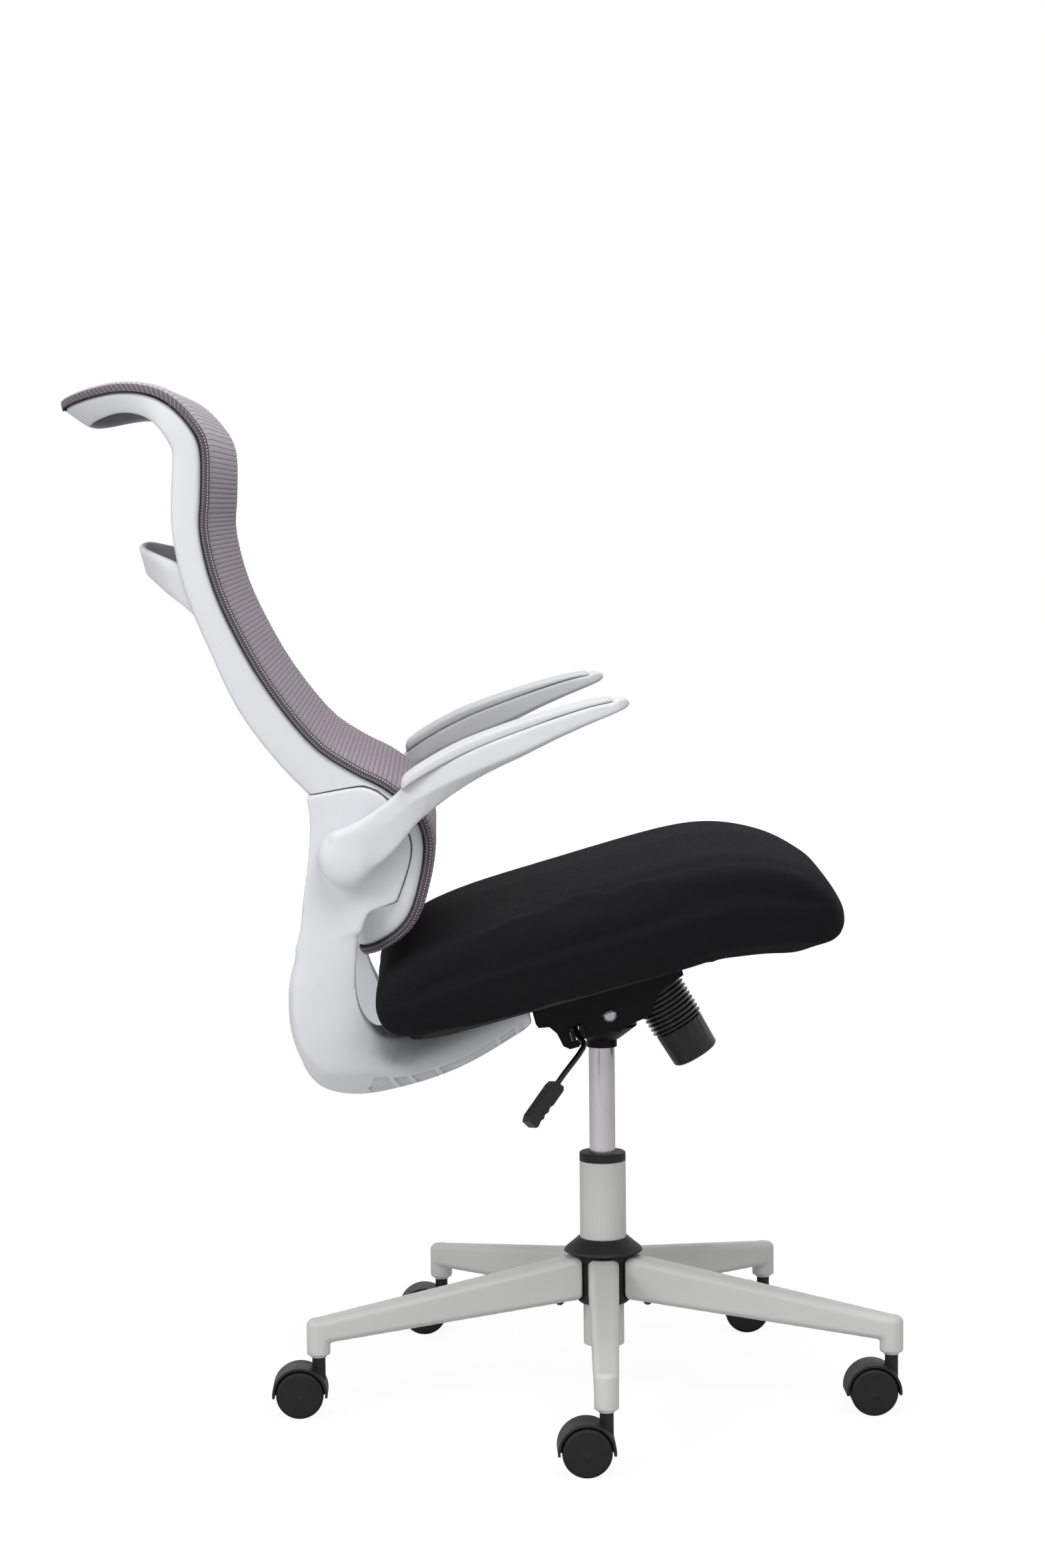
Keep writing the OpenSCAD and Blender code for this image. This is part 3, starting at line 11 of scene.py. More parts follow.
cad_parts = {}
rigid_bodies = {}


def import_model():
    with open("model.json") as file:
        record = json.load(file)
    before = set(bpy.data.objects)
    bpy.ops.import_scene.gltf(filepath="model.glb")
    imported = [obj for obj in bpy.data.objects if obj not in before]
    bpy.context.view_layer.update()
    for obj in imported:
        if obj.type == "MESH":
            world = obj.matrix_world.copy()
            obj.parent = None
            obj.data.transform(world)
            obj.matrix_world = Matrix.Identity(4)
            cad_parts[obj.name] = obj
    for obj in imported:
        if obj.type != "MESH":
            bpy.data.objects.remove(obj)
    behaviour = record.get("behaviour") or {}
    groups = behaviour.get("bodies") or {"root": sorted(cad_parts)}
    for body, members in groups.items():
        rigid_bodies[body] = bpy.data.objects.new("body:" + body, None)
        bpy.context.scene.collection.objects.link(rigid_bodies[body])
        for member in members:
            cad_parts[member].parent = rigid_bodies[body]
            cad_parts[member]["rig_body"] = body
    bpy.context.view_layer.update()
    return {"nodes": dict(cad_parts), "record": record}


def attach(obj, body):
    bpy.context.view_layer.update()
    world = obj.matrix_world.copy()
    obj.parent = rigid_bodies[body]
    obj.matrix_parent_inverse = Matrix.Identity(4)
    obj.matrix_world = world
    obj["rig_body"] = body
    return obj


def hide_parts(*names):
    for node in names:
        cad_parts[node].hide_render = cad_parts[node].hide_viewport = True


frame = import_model()
NODES = frame["nodes"]
MM = 0.001

# Camera, fitted to the photograph's outlines
PHOTO_HEIGHT = 2353
CAMERA_PLACE = (-0.170905, -3.534525, 0.958162)
CAMERA_RIGHT = (0.99961656, -0.02583488, -0.00996457)
CAMERA_UP = (0.01209392, 0.08362087, 0.99642425)
CAMERA_FORWARD = (0.02490926, 0.99616269, -0.08390125)
SENSOR = 36.0
FOCAL_PIXELS = 4974.0

# Lamps: place, target, side in metres and power in watts
LAMPS = {
    "key": ((0.6, -2.7, 3.5), (0, 0, 0.6), 1.8, 58),
    "top": ((-0.2, 0.2, 3.4), (-0.1, 0, 0.5), 2.4, 40),
    "fill": ((-2.3, -2.2, 2.2), (-0.4, 0, 1.05), 1.4, 42),
}
ROOM_TINT, ROOM_STRENGTH = (0.97, 0.98, 1.0, 1), 0.24

# Floor: near the chair it takes the shadow, and farther out it glows plain white, so that no horizon shows
FLOOR_SIDE, FLOOR_WHITE, FLOOR_GLOW = 40, 0.78, 1.08
SHADOW_REACH = (0.7, 1.9)
GLOW_SHARES = (0.86, 1.0)

# Values shared with the CAD model, in millimetres and degrees
RECLINE = 15.0
PIVOT = (6.0, 418.0)
BACK_X, BACK_Z, BACK_REACH, BACK_RISE = -224.0, 571.0, 244.0, 624.0
BACK_WIDTH, RAIL_WIDTH = 444.0, 24.0
LOW_CORNER, HEAD_LENGTH, HEAD_BAR = 84.0, 128.0, 24.0
BACK_SHARES = [
    (0.000, 0.000), (0.111, 0.010), (0.240, 0.036), (0.330, 0.084), (0.400, 0.142), (0.403, 0.186),
    (0.360, 0.222), (0.290, 0.256), (0.190, 0.290), (0.060, 0.348), (-0.055, 0.447), (-0.124, 0.543),
    (-0.161, 0.635), (-0.152, 0.723), (-0.101, 0.784), (-0.051, 0.856), (-0.078, 0.899), (-0.134, 0.935),
    (-0.213, 0.959), (-0.330, 0.975), (-0.450, 0.981), (-0.540, 0.983), (-0.634, 0.984)]
BACK_STEPS = 72

# Form of the back's mesh, in millimetres. Its wrapped edge has points by reach in from the rail's side and
# height over its front.
WRAP = [(0.0, 0.4), (0.0, 2.4), (0.05, 4.6), (0.5, 6.3), (1.6, 7.4), (3.2, 7.9)]
WRAP_REACH, WRAP_HEIGHT = WRAP[-1]
END_MARGIN = 1.0
COLUMN_SHARES = np.array([0.02, 0.045, 0.075, 0.11, 0.15, 0.20, 0.27, 0.36, 0.48, 0.62, 0.8, 1.0])
SHEET_THICKNESS = 1.6
CROWN, CROWN_REACH, CROWN_FADE = 2.4, 14.0, 40.0
RIB_PITCH, RIB_HEIGHT, RIB_POWER = 5.0, 1.1, 0.7
RIB_SAMPLES = 8
RIB_START, RIB_GROWTH, RIB_FADE = 3.0, 9.0, 8.0
END_BORDER, END_SPREAD = 6.0, 8.0
UNBOUND = 1e3

# Finish of the mesh, in metres. A row of stitches has its place, level, half width and half length.
# The first width is a near-black line of painted shade along the rail, for the gap where the mesh meets it.
GAP_SHADE, BORDER, BORDER_FADE = 0.0011, 0.0086, 0.0006
KNIT_ACROSS, KNIT_UP, CROSS_PITCH = 0.0014, 0.0011, 0.0026
STITCH_PITCH, THREAD_PITCH = 0.0028, 0.0019
STITCHES = [(0.0026, 165, 0.0005, 0.0007), (0.0061, 200, 0.0006, 0.0008)]
THREAD_FADE = (0.585, 0.63)
CURL_FADE = (0.635, 0.67)
# The last tint colours that painted shade line along the rail.
KNIT_TINT, YARN_TINT, GAP_SHADE_TINT = (1.0, 0.93, 1.0), (1.0, 0.97, 1.0), (0.85, 0.92, 1.7)

# Weave of the seat's cloth and the radius that the mould left on plastic edges, in metres
WEAVE_PITCH, WEAVE_DRIFT, WEAVE_LEAN = 0.0015, 0.0016, 0.62
EDGE_ROUND = 0.0022

# Moulded copies. Facets closer than one angle join into one face, whose shape may be off square by another,
# and edges sharper than the third one stay.
JOIN_ANGLE, SHAPE_ANGLE, EDGE_ANGLE = 12, 50, 30
# Voxel in millimetres, rounds of smoothing and the share of faces kept, then where forms flow together.
# Each melt has its centre, with one side standing for both, its radius and its rounds of smoothing.
STRUT_VOXEL, ARM_VOXEL, LEG_VOXEL = 1.6, 1.5, 1.6
STRUT_ROUNDS, ARM_ROUNDS, LEG_ROUNDS = 6, 8, 5
FACES_KEPT = 0.5
STRUT_CUT = 0.474
STRUT_MELTS = [((-0.321, 0.235, 0.520), 0.044, 400), ((-0.262, 0.235, 0.530), 0.030, 40)]
ARM_MELTS = [((-0.262, 0.250, 0.634), 0.040, 140), ((-0.236, 0.250, 0.604), 0.030, 60)]
MELT_STEPS = 10

# Padding of the seat: pressure and length of the simulation, then how far a point may move and how much
# smaller the cloth begins, in metres
SEAT_VOXEL = 5.5
SEAT_PRESSURE, SEAT_FRAMES = 4.0, 20
SEAT_PUFF, SEAT_SHRINK = 0.006, 0.003
# Rounds of smoothing before the simulation, after it and after the ridge is drawn
FIRST_ROUNDS, TAUT_ROUNDS, DRAWN_ROUNDS = 6, 14, 2

# Ridge sewn where the seat's side meets its top: how far it stands out and how wide it is, in millimetres and
# degrees of the shoulder, and where along the level seat it begins and ends
RIDGE_RISE, RIDGE_HOLLOW = 9.0, 3.0
RIDGE_ANGLE, RIDGE_SPREAD, HOLLOW_SPREADS = 46.0, 15.0, 2.2
RIDGE_FROM, RIDGE_TO, RIDGE_FADE = -215.0, 262.0, 45.0
RIDGE_LEAST_Y = 150.0
DIAGONAL = 0.7


# Camera, light and floor

def link(obj):
    bpy.context.scene.collection.objects.link(obj)
    return obj


def make_camera():
    data = bpy.data.cameras.new("camera")
    data.sensor_width = SENSOR
    data.sensor_fit = "AUTO"
    data.lens = FOCAL_PIXELS * SENSOR / PHOTO_HEIGHT
    data.clip_start, data.clip_end = 0.05, 50
    camera = link(bpy.data.objects.new("camera", data))
    back = -Vector(CAMERA_FORWARD)
    turn = Matrix((CAMERA_RIGHT, CAMERA_UP, back)).transposed().to_4x4()
    camera.matrix_world = Matrix.Translation(CAMERA_PLACE) @ turn
    bpy.context.scene.camera = camera


def area_light(name, place, target, side, power):
    data = bpy.data.lights.new(name, "AREA")
    data.shape = "RECTANGLE"
    data.size = data.size_y = side
    data.energy = power
    lamp = link(bpy.data.objects.new(name, data))
    lamp.location = place
    lamp.rotation_euler = (Vector(target) - Vector(place)).to_track_quat("-Z", "Y").to_euler()


def mixed(tree, output, share, first, second):
    """Shows the first shader, and the second one by its share."""
    mix = tree.nodes.new("ShaderNodeMixShader")
    out = tree.nodes.new(output)
    tree.links.new(share, mix.inputs["Fac"])
    tree.links.new(first.outputs[0], mix.inputs[1])
    tree.links.new(second.outputs[0], mix.inputs[2])
    tree.links.new(mix.outputs[0], out.inputs["Surface"])


def joined(tree, operation, first, second):
    made = tree.nodes.new("ShaderNodeMath")
    made.operation = operation
    tree.links.new(first, made.inputs[0])
    tree.links.new(second, made.inputs[1])
    return made.outputs[0]


def make_floor():
    bpy.ops.mesh.primitive_grid_add(x_subdivisions=4, y_subdivisions=4, size=FLOOR_SIDE)
    floor = bpy.context.object
    floor.name = "floor"
    surface = bpy.data.materials.new("floor_white")
    surface.use_nodes = True
    tree = surface.node_tree
    tree.nodes.clear()
    paper = tree.nodes.new("ShaderNodeBsdfPrincipled")
    paper.inputs["Base Color"].default_value = (FLOOR_WHITE, FLOOR_WHITE, FLOOR_WHITE, 1)
    paper.inputs["Roughness"].default_value = 0.9
    glow = tree.nodes.new("ShaderNodeEmission")
    glow.inputs["Strength"].default_value = FLOOR_GLOW
    where = tree.nodes.new("ShaderNodeTexCoord")
    reach = tree.nodes.new("ShaderNodeVectorMath")
    reach.operation = "LENGTH"
    tree.links.new(where.outputs["Object"], reach.inputs[0])
    fade = tree.nodes.new("ShaderNodeMapRange")
    for socket, value in zip(("From Min", "From Max", "To Min", "To Max"), SHADOW_REACH + GLOW_SHARES):
        fade.inputs[socket].default_value = value
    tree.links.new(reach.outputs["Value"], fade.inputs["Value"])
    ray = tree.nodes.new("ShaderNodeLightPath")
    share = joined(tree, "MULTIPLY", ray.outputs["Is Camera Ray"], fade.outputs["Result"])
    mixed(tree, "ShaderNodeOutputMaterial", share, paper, glow)
    floor.data.materials.append(surface)


def make_world():
    """Camera, mirror and glass rays see the white background. Diffuse rays get the room's weaker light."""
    world = bpy.data.worlds.new("studio")
    bpy.context.scene.world = world
    world.use_nodes = True
    tree = world.node_tree
    tree.nodes.clear()
    soft = tree.nodes.new("ShaderNodeBackground")
    soft.inputs["Color"].default_value = ROOM_TINT
    soft.inputs["Strength"].default_value = ROOM_STRENGTH
    seen = tree.nodes.new("ShaderNodeBackground")
    seen.inputs["Color"].default_value = (1, 1, 1, 1)
    seen.inputs["Strength"].default_value = 1.0
    ray = tree.nodes.new("ShaderNodeLightPath")
    shown = ray.outputs["Is Camera Ray"]
    for kind in ("Is Glossy Ray", "Is Transmission Ray"):
        shown = joined(tree, "MAXIMUM", shown, ray.outputs[kind])
    mixed(tree, "ShaderNodeOutputWorld", shown, soft, seen)


def make_stage():
    make_floor()
    make_world()
    for name, (place, target, side, power) in LAMPS.items():
        area_light(name, place, target, side, power)
    bpy.context.scene.view_settings.view_transform = "Standard"


# Materials

class Surface:
    """A Principled material built up one node at a time. A level is a 0 to 255 value in the photograph."""

    def __init__(self, name, **sockets):
        self.material = bpy.data.materials.new(name)
        self.material.use_nodes = True
        self.tree = self.material.node_tree
        self.shader = self.tree.nodes["Principled BSDF"]
        for socket, value in sockets.items():
            self.shader.inputs[socket.replace("_", " ")].default_value = value
        self.coordinates = self.tree.nodes.new("ShaderNodeTexCoord")
        self.bumped = None

    def node(self, kind, *inputs, **values):
        made = self.tree.nodes.new("ShaderNode" + kind)
        for name, value in values.items():
            setattr(made, name, value)
        for place, value in inputs:
            if isinstance(value, bpy.types.NodeSocket):
                self.tree.links.new(value, made.inputs[place])
            else:
                made.inputs[place].default_value = value
        return made

    def math(self, operation, a, b=0.0):
        return self.node("Math", (0, a), (1, b), operation=operation).outputs[0]

    def plus(self, a, b):
        return self.math("ADD", a, b)

    def minus(self, a, b):
        return self.math("SUBTRACT", a, b)

    def times(self, a, b):
        return self.math("MULTIPLY", a, b)

    def size(self, a):
        return self.math("ABSOLUTE", a)

    def wave(self, value, pitch):
        """A sine with one turn per pitch."""
        return self.math("SINE", self.times(value, 2 * math.pi / pitch))

    def repeat(self, value, pitch, shift=0.0):
        """Distance from the middle of the nearest of a row of places one pitch apart."""
        turned = self.plus(self.math("DIVIDE", value, pitch), shift)
        return self.times(self.minus(self.math("FRACT", turned), 0.5), pitch)

    def spot(self, a, b, half_a, half_b):
        """1 inside a small oval, 0 outside it."""
        across = self.math("POWER", self.math("DIVIDE", a, half_a), 2.0)
        along = self.math("POWER", self.math("DIVIDE", b, half_b), 2.0)
        return self.span(self.plus(across, along), 1.3, 0.6)

    def span(self, value, low, high, to_low=0.0, to_high=1.0):
        """value from low to high, spread over to_low to to_high and held there."""
        return self.node("MapRange", (0, value), (1, low), (2, high), (3, to_low), (4, to_high)).outputs[0]

    def stretched(self, scale):
        return self.node("Mapping", (0, self.coordinates.outputs["Object"]), (3, scale)).outputs[0]

    def noise(self, scale, detail=2.0, stretch=(1, 1, 1), rough=0.5):
        made = self.node("TexNoise", ("Vector", self.stretched(stretch)), ("Scale", scale),
                         ("Detail", detail), ("Roughness", rough))
        return made.outputs[0]

    def blend(self, share, first, second):
        return self.node("Mix", (0, share), (6, first), (7, second), data_type="RGBA").outputs[2]

    def axes(self, source):
        return self.node("SeparateXYZ", (0, self.coordinates.outputs[source])).outputs

    def colour(self, value):
        self.tree.links.new(value, self.shader.inputs["Base Color"])

    def roughness(self, value):
        self.tree.links.new(value, self.shader.inputs["Roughness"])

    def rounded(self, radius):
        """Edges as if rounded by a radius. It comes before any bump."""
        self.bumped = self.node("Bevel", (0, radius), samples=4).outputs[0]

    def bump(self, height, strength, distance):
        made = self.node("Bump", ("Height", height), ("Strength", strength), ("Distance", distance))
        if self.bumped is not None:
            self.tree.links.new(self.bumped, made.inputs["Normal"])
        self.bumped = made.outputs[0]
        self.tree.links.new(self.bumped, self.shader.inputs["Normal"])

    def edges(self):
        return self.span(self.node("NewGeometry").outputs["Pointiness"], 0.52, 0.60)


def rgb(level, tint=(1.0, 1.0, 1.0)):
    """A colour from its 0 to 255 level in the photograph and a slight tint."""
    def linear(v):
        v = v / 255
        return v / 12.92 if v <= 0.04045 else ((v + 0.055) / 1.055) ** 2.4
    return tuple(linear(level * t) for t in tint) + (1.0,)


def moulded(name, level, tint, roughness, grain=0.12):
    """Injection-moulded plastic: fine spark texture, faint clouding, rubbed edges and a few scuffs."""
    s = Surface(name, IOR=1.46, Specular_IOR_Level=0.35)
    clean = s.blend(s.span(s.noise(7, 3), 0.3, 0.7), rgb(level * 0.985, tint), rgb(level * 1.01, tint))
    dust = s.span(s.noise(160, 4, rough=0.7), 0.62, 0.78)
    toned = s.blend(s.times(dust, 0.12), clean, rgb(level * 0.8, tint))
    s.colour(s.blend(s.times(s.edges(), 0.5), toned, rgb(min(level * 1.06, 250), tint)))
    rub = s.noise(26, 3, stretch=(1, 1, 4))
    s.roughness(s.span(rub, 0.3, 0.7, roughness - 0.06, roughness + 0.07))
    s.rounded(EDGE_ROUND)
    s.bump(s.noise(1500, 2, rough=0.6), grain, 0.0002)
    s.bump(s.noise(34, 2), 0.03, 0.001)
    return s.material


def black_shell(name, level, roughness, grain=0.2, coat=0.0, gloss=0.3):
    """Black plastic or paint with a fine grain, greyer where hands and feet have rubbed it."""
    s = Surface(name, IOR=1.5, Specular_IOR_Level=gloss, Coat_Weight=coat, Coat_Roughness=0.12)
    tint = (0.98, 1.0, 1.03)
    base = s.blend(s.span(s.noise(12, 4), 0.35, 0.7), rgb(level * 0.92, tint), rgb(level * 1.08, tint))
    s.colour(s.blend(s.times(s.edges(), 0.45), base, rgb(level * 1.7, tint)))
    rub = s.noise(40, 4, stretch=(1, 1, 3))
    s.roughness(s.span(rub, 0.3, 0.7, roughness - 0.07, roughness + 0.08))
    s.rounded(EDGE_ROUND * 0.4)
    s.bump(s.noise(1100, 2, rough=0.7), grain, 0.0002)
    return s.material


def metal(name, level, tint, roughness, streaks, anisotropic=0.0):
    """Drawn or plated steel: long fine streaks along its length and a few duller patches."""
    s = Surface(name, Metallic=1.0, Anisotropic=anisotropic)
    patch = s.noise(18, 4)
    s.colour(s.blend(s.span(patch, 0.35, 0.7), rgb(level * 0.94, tint), rgb(level, tint)))
    fine = s.noise(900, 3, stretch=streaks, rough=0.65)
    dull = s.plus(fine, s.times(patch, 0.5))
    s.roughness(s.span(dull, 0.5, 1.1, roughness * 0.7, roughness * 1.5))
    s.bump(fine, 0.08, 0.0001)
    return s.material


def stained_board(name):
    """Plywood stained nearly black, its grain and plies still faintly seen."""
    s = Surface(name, Roughness=0.62)
    warp = s.noise(3, 5, stretch=(4, 26, 26))
    layers = s.node("TexWave", ("Vector", s.stretched((1, 1, 1))), ("Scale", 160.0), bands_direction="Z")
    grain = s.blend(s.span(warp, 0.3, 0.7), rgb(24, (1.04, 1, 0.96)), rgb(38, (1.05, 1, 0.94)))
    s.colour(s.blend(s.times(layers.outputs[1], 0.35), grain, rgb(18)))
    s.bump(warp, 0.15, 0.0004)
    return s.material


def seat_cloth(name):
    """Black woven upholstery: over and under threads, small slubs and a faint bloom of sheen."""
    s = Surface(name, Sheen_Weight=0.015, Sheen_Roughness=0.45, Sheen_Tint=(0.72, 0.74, 0.8, 1),
                Specular_IOR_Level=0.03)
    tint = (0.97, 0.97, 1.02)
    x, y, z = s.axes("Object")
    drift = s.times(s.noise(60, 2), WEAVE_DRIFT)
    warp = s.plus(s.plus(x, s.times(z, WEAVE_LEAN)), drift)
    weft = s.plus(s.minus(y, s.times(z, WEAVE_LEAN)), drift)
    weave = s.times(s.wave(warp, WEAVE_PITCH), s.wave(weft, WEAVE_PITCH))
    slub = s.span(s.noise(420, 3, stretch=(1, 0.3, 1)), 0.4, 0.7)
    thread = s.blend(s.span(weave, -1, 1), rgb(23, tint), rgb(36, tint))
    s.colour(s.blend(s.times(slub, 0.3), thread, rgb(36, tint)))
    s.roughness(s.span(slub, 0, 1, 0.8, 0.95))
    s.bump(weave, 0.35, 0.0003)
    s.bump(s.noise(24, 3), 0.12, 0.0015)
    return s.material


def knit_face(s, inward, up, fine, speckle):
    """Ribs with darker furrows, a dashed pale thread on each in the upper back and slubs lower down."""
    face = s.blend(s.span(fine, -1, 1), rgb(138, KNIT_TINT), rgb(166, KNIT_TINT))
    face = s.blend(s.times(s.span(speckle, 0.35, 0.75), 0.4), face, rgb(174, KNIT_TINT))
    pitch = RIB_PITCH * MM
    place = s.repeat(up, pitch)
    furrow = s.span(s.size(place), pitch * 0.30, pitch * 0.44)
    face = s.blend(s.times(furrow, 0.9), face, rgb(76, KNIT_TINT))
    thread = s.spot(s.plus(place, pitch * 0.16), s.repeat(inward, THREAD_PITCH), 0.0006, 0.0008)
    upper = s.span(up, *THREAD_FADE)
    face = s.blend(s.times(upper, 0.42), face, rgb(210, YARN_TINT))
    face = s.blend(s.times(thread, upper), face, rgb(222, YARN_TINT))
    slub = s.span(s.noise(240, 2, stretch=(1, 0.25, 1)), 0.52, 0.68)
    crest = s.span(s.size(s.minus(place, pitch * 0.12)), 0.0009, 0.0003)
    lower = s.times(s.minus(1.0, upper), 0.5)
    return s.blend(s.times(s.times(slub, crest), lower), face, rgb(182, YARN_TINT))


def knit_border(s, inward, up, cross):
    """Darker knit with two rows of pale stitches, sewn slanting over the curl, and a painted shade line at
    its rim.
    """
    border = s.blend(s.span(cross, -0.6, 0.9), rgb(68, KNIT_TINT), rgb(104, KNIT_TINT))
    for row, level, across, along in STITCHES:
        stitch = s.spot(s.minus(inward, row), s.repeat(up, STITCH_PITCH, row * 90), across, along)
        border = s.blend(stitch, border, rgb(level, YARN_TINT))
    slant = s.repeat(s.minus(inward, s.times(up, 1.1)), STITCH_PITCH * 1.9)
    slope = s.repeat(s.plus(inward, up), STITCH_PITCH * 0.8)
    curl = s.blend(s.span(cross, -0.6, 0.9), rgb(78, KNIT_TINT), rgb(124, KNIT_TINT))
    curl = s.blend(s.times(s.spot(slant, slope, 0.0004, 0.0008), 0.9), curl, rgb(200, YARN_TINT))
    border = s.blend(s.span(up, *CURL_FADE), border, curl)
    # Painted shade: a near-black line along the rail, for the gap between mesh and rail.
    return s.blend(s.span(inward, GAP_SHADE, GAP_SHADE * 0.6), border, rgb(24, GAP_SHADE_TINT))


def mesh_cloth(name, shade=0.0):
    """Ribbed spacer knit: the first UV runs in from the edge and the second up the back, in metres.

    The shade is painted shade: it darkens the side that faces away from the sitter, which lies in shadow.
    """
    s = Surface(name, Sheen_Weight=0.1, Sheen_Roughness=0.4, Specular_IOR_Level=0.25)
    inward, up = s.axes("UV")[:2]
    fine = s.times(s.wave(inward, KNIT_ACROSS), s.wave(up, KNIT_UP))
    cross = s.times(s.wave(s.plus(inward, up), CROSS_PITCH), s.wave(s.minus(inward, up), CROSS_PITCH))
    speckle = s.noise(700, 3, rough=0.7)
    face = knit_face(s, inward, up, fine, speckle)
    border = knit_border(s, inward, up, cross)
    knit = s.blend(s.span(inward, BORDER, BORDER + BORDER_FADE), border, face)
    # Painted shade: the shade share darkens the knit towards near black on the back side's copy.
    s.colour(s.blend(s.span(speckle, 0.2, 0.8, shade, shade * 0.8), knit, rgb(18, KNIT_TINT)))
    s.roughness(s.span(speckle, 0.3, 0.7, 0.64, 0.84))
    s.bump(s.plus(fine, cross), 0.3, 0.0002)
    return s.material


def bellows_rubber(name):
    """Black rubber with a faint grey bloom."""
    s = Surface(name, IOR=1.52)
    tint = (1.0, 1.0, 1.02)
    bloom = s.span(s.noise(70, 5, rough=0.7), 0.45, 0.8)
    s.colour(s.blend(s.times(bloom, 0.35), rgb(9, tint), rgb(40, tint)))
    s.roughness(s.span(bloom, 0, 1, 0.26, 0.5))
    s.bump(s.noise(600, 3), 0.1, 0.0002)
    return s.material


COOL = (0.991, 0.998, 1.012)
SURFACES = {
    "frame_plastic": moulded("frame_plastic", 230, COOL, 0.46),
    "pad_plastic": moulded("pad_plastic", 220, COOL, 0.56, grain=0.2),
    "base_plastic": moulded("base_plastic", 216, (1.0, 1.0, 0.99), 0.38, grain=0.08),
    "black_plastic": black_shell("black_plastic", 24, 0.56),
    "wheel_plastic": black_shell("wheel_plastic", 21, 0.6, grain=0.25),
    "knob_plastic": black_shell("knob_plastic", 7, 0.3, grain=0.03, coat=0.05, gloss=0.4),
    "bellows_rubber": bellows_rubber("bellows_rubber"),
    "tube_chrome": metal("tube_chrome", 214, (1.0, 0.985, 0.995), 0.26, (1, 1, 0.02), anisotropic=0.6),
    "zinc_steel": metal("zinc_steel", 200, (0.98, 1.0, 1.01), 0.3, (1, 1, 0.4)),
    "black_steel": black_shell("black_steel", 16, 0.3, grain=0.03, coat=0.12, gloss=0.4),
    "black_paint": black_shell("black_paint", 4, 0.38, grain=0.12, gloss=0.15),
    "plywood": stained_board("plywood"),
    "seat_cloth": seat_cloth("seat_cloth"),
    "mesh_cloth": mesh_cloth("mesh_cloth"),
}
# A copy of the knit darkened with painted shade, for the sheet's back side, which lies in shadow.
MESH_SHADED_BACK = mesh_cloth("mesh_shaded_back", shade=0.7)


# Pieces

def give(obj, slot):
    obj.data.materials.clear()
    obj.data.materials.append(SURFACES[slot])


def settle(obj):
    """Applies every modifier of a piece."""
    bpy.context.view_layer.update()
    shape = bpy.data.meshes.new_from_object(obj.evaluated_get(bpy.context.evaluated_depsgraph_get()))
    obj.modifiers.clear()
    old = obj.data
    obj.data = shape
    bpy.data.meshes.remove(old)


def read_points(shape, kind="co"):
    values = np.zeros(len(shape.vertices) * 3)
    shape.vertices.foreach_get(kind, values)
    return values.reshape(-1, 3)


def write_points(shape, points):
    shape.vertices.foreach_set("co", points.ravel())
    shape.update()


def shade_smooth(obj):
    for face in obj.data.polygons:
        face.use_smooth = True


def smooth(obj, rounds, group=""):
    ease = obj.modifiers.new("smooth", "SMOOTH")
    ease.factor, ease.iterations, ease.vertex_group = 0.5, rounds, group


def remesh(obj, voxel):
    fine = obj.modifiers.new("remesh", "REMESH")
    fine.mode = "VOXEL"
    fine.voxel_size = voxel * MM


def subdivide(obj, levels):
    finer = obj.modifiers.new("finer", "SUBSURF")
    finer.levels = finer.render_levels = levels


def copy_of(node, name):
    obj = link(bpy.data.objects.new(name, NODES[node].data.copy()))
    work = bmesh.new()
    work.from_mesh(obj.data)
    bmesh.ops.remove_doubles(work, verts=work.verts, dist=1e-6)
    work.to_mesh(obj.data)
    work.free()
    return obj


def stand_in(obj, node, slot):
    """Shows a moulded copy in place of its CAD node."""
    give(obj, slot)
    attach(obj, NODES[node]["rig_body"])
    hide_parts(node)


def fair(node, name, levels=2):
    """A copy of a CAD node whose facets become one curve, while its edges stay."""
    obj = copy_of(node, name)
    work = bmesh.new()
    work.from_mesh(obj.data)
    bmesh.ops.join_triangles(work, faces=work.faces, angle_face_threshold=math.radians(JOIN_ANGLE),
                             angle_shape_threshold=math.radians(SHAPE_ANGLE))
    crease = work.edges.layers.float.new("crease_edge")
    for edge in work.edges:
        if len(edge.link_faces) != 2 or edge.calc_face_angle(0) > math.radians(EDGE_ANGLE):
            edge[crease] = 1.0
    work.to_mesh(obj.data)
    work.free()
    subdivide(obj, levels)
    settle(obj)
    shade_smooth(obj)
    obj.data.set_sharp_from_angle(angle=math.radians(EDGE_ANGLE))
    return obj


def crisp(node, slot):
    stand_in(fair(node, node + "_moulded"), node, slot)


def melt(obj, centre, radius, rounds):
    """Flows two forms together around a point on either side, most at its middle."""
    points = read_points(obj.data)
    away = np.linalg.norm(np.abs(points) * np.sign(centre) - np.array(centre), axis=1) / radius
    group = obj.vertex_groups.new(name="melt")
    for step in range(1, MELT_STEPS + 1):
        weight = step / MELT_STEPS
        inside = np.flatnonzero((away < 1 + 1 / MELT_STEPS - weight) & (away >= 1 - weight))
        group.add(inside.tolist(), weight, "REPLACE")
    smooth(obj, rounds, "melt")
    settle(obj)
    obj.vertex_groups.clear()


def soften(node, voxel, rounds, slot, melts=(), source=None):
    """A moulded copy of a CAD node, its facets and edges eased as in a real mould."""
    obj = source or copy_of(node, node + "_moulded")
    remesh(obj, voxel)
    settle(obj)
    for centre, radius, more in melts:
        melt(obj, centre, radius, more)
    smooth(obj, rounds)
    thin = obj.modifiers.new("thin", "DECIMATE")
    thin.ratio = FACES_KEPT
    settle(obj)
    shade_smooth(obj)
    stand_in(obj, node, slot)
    return obj


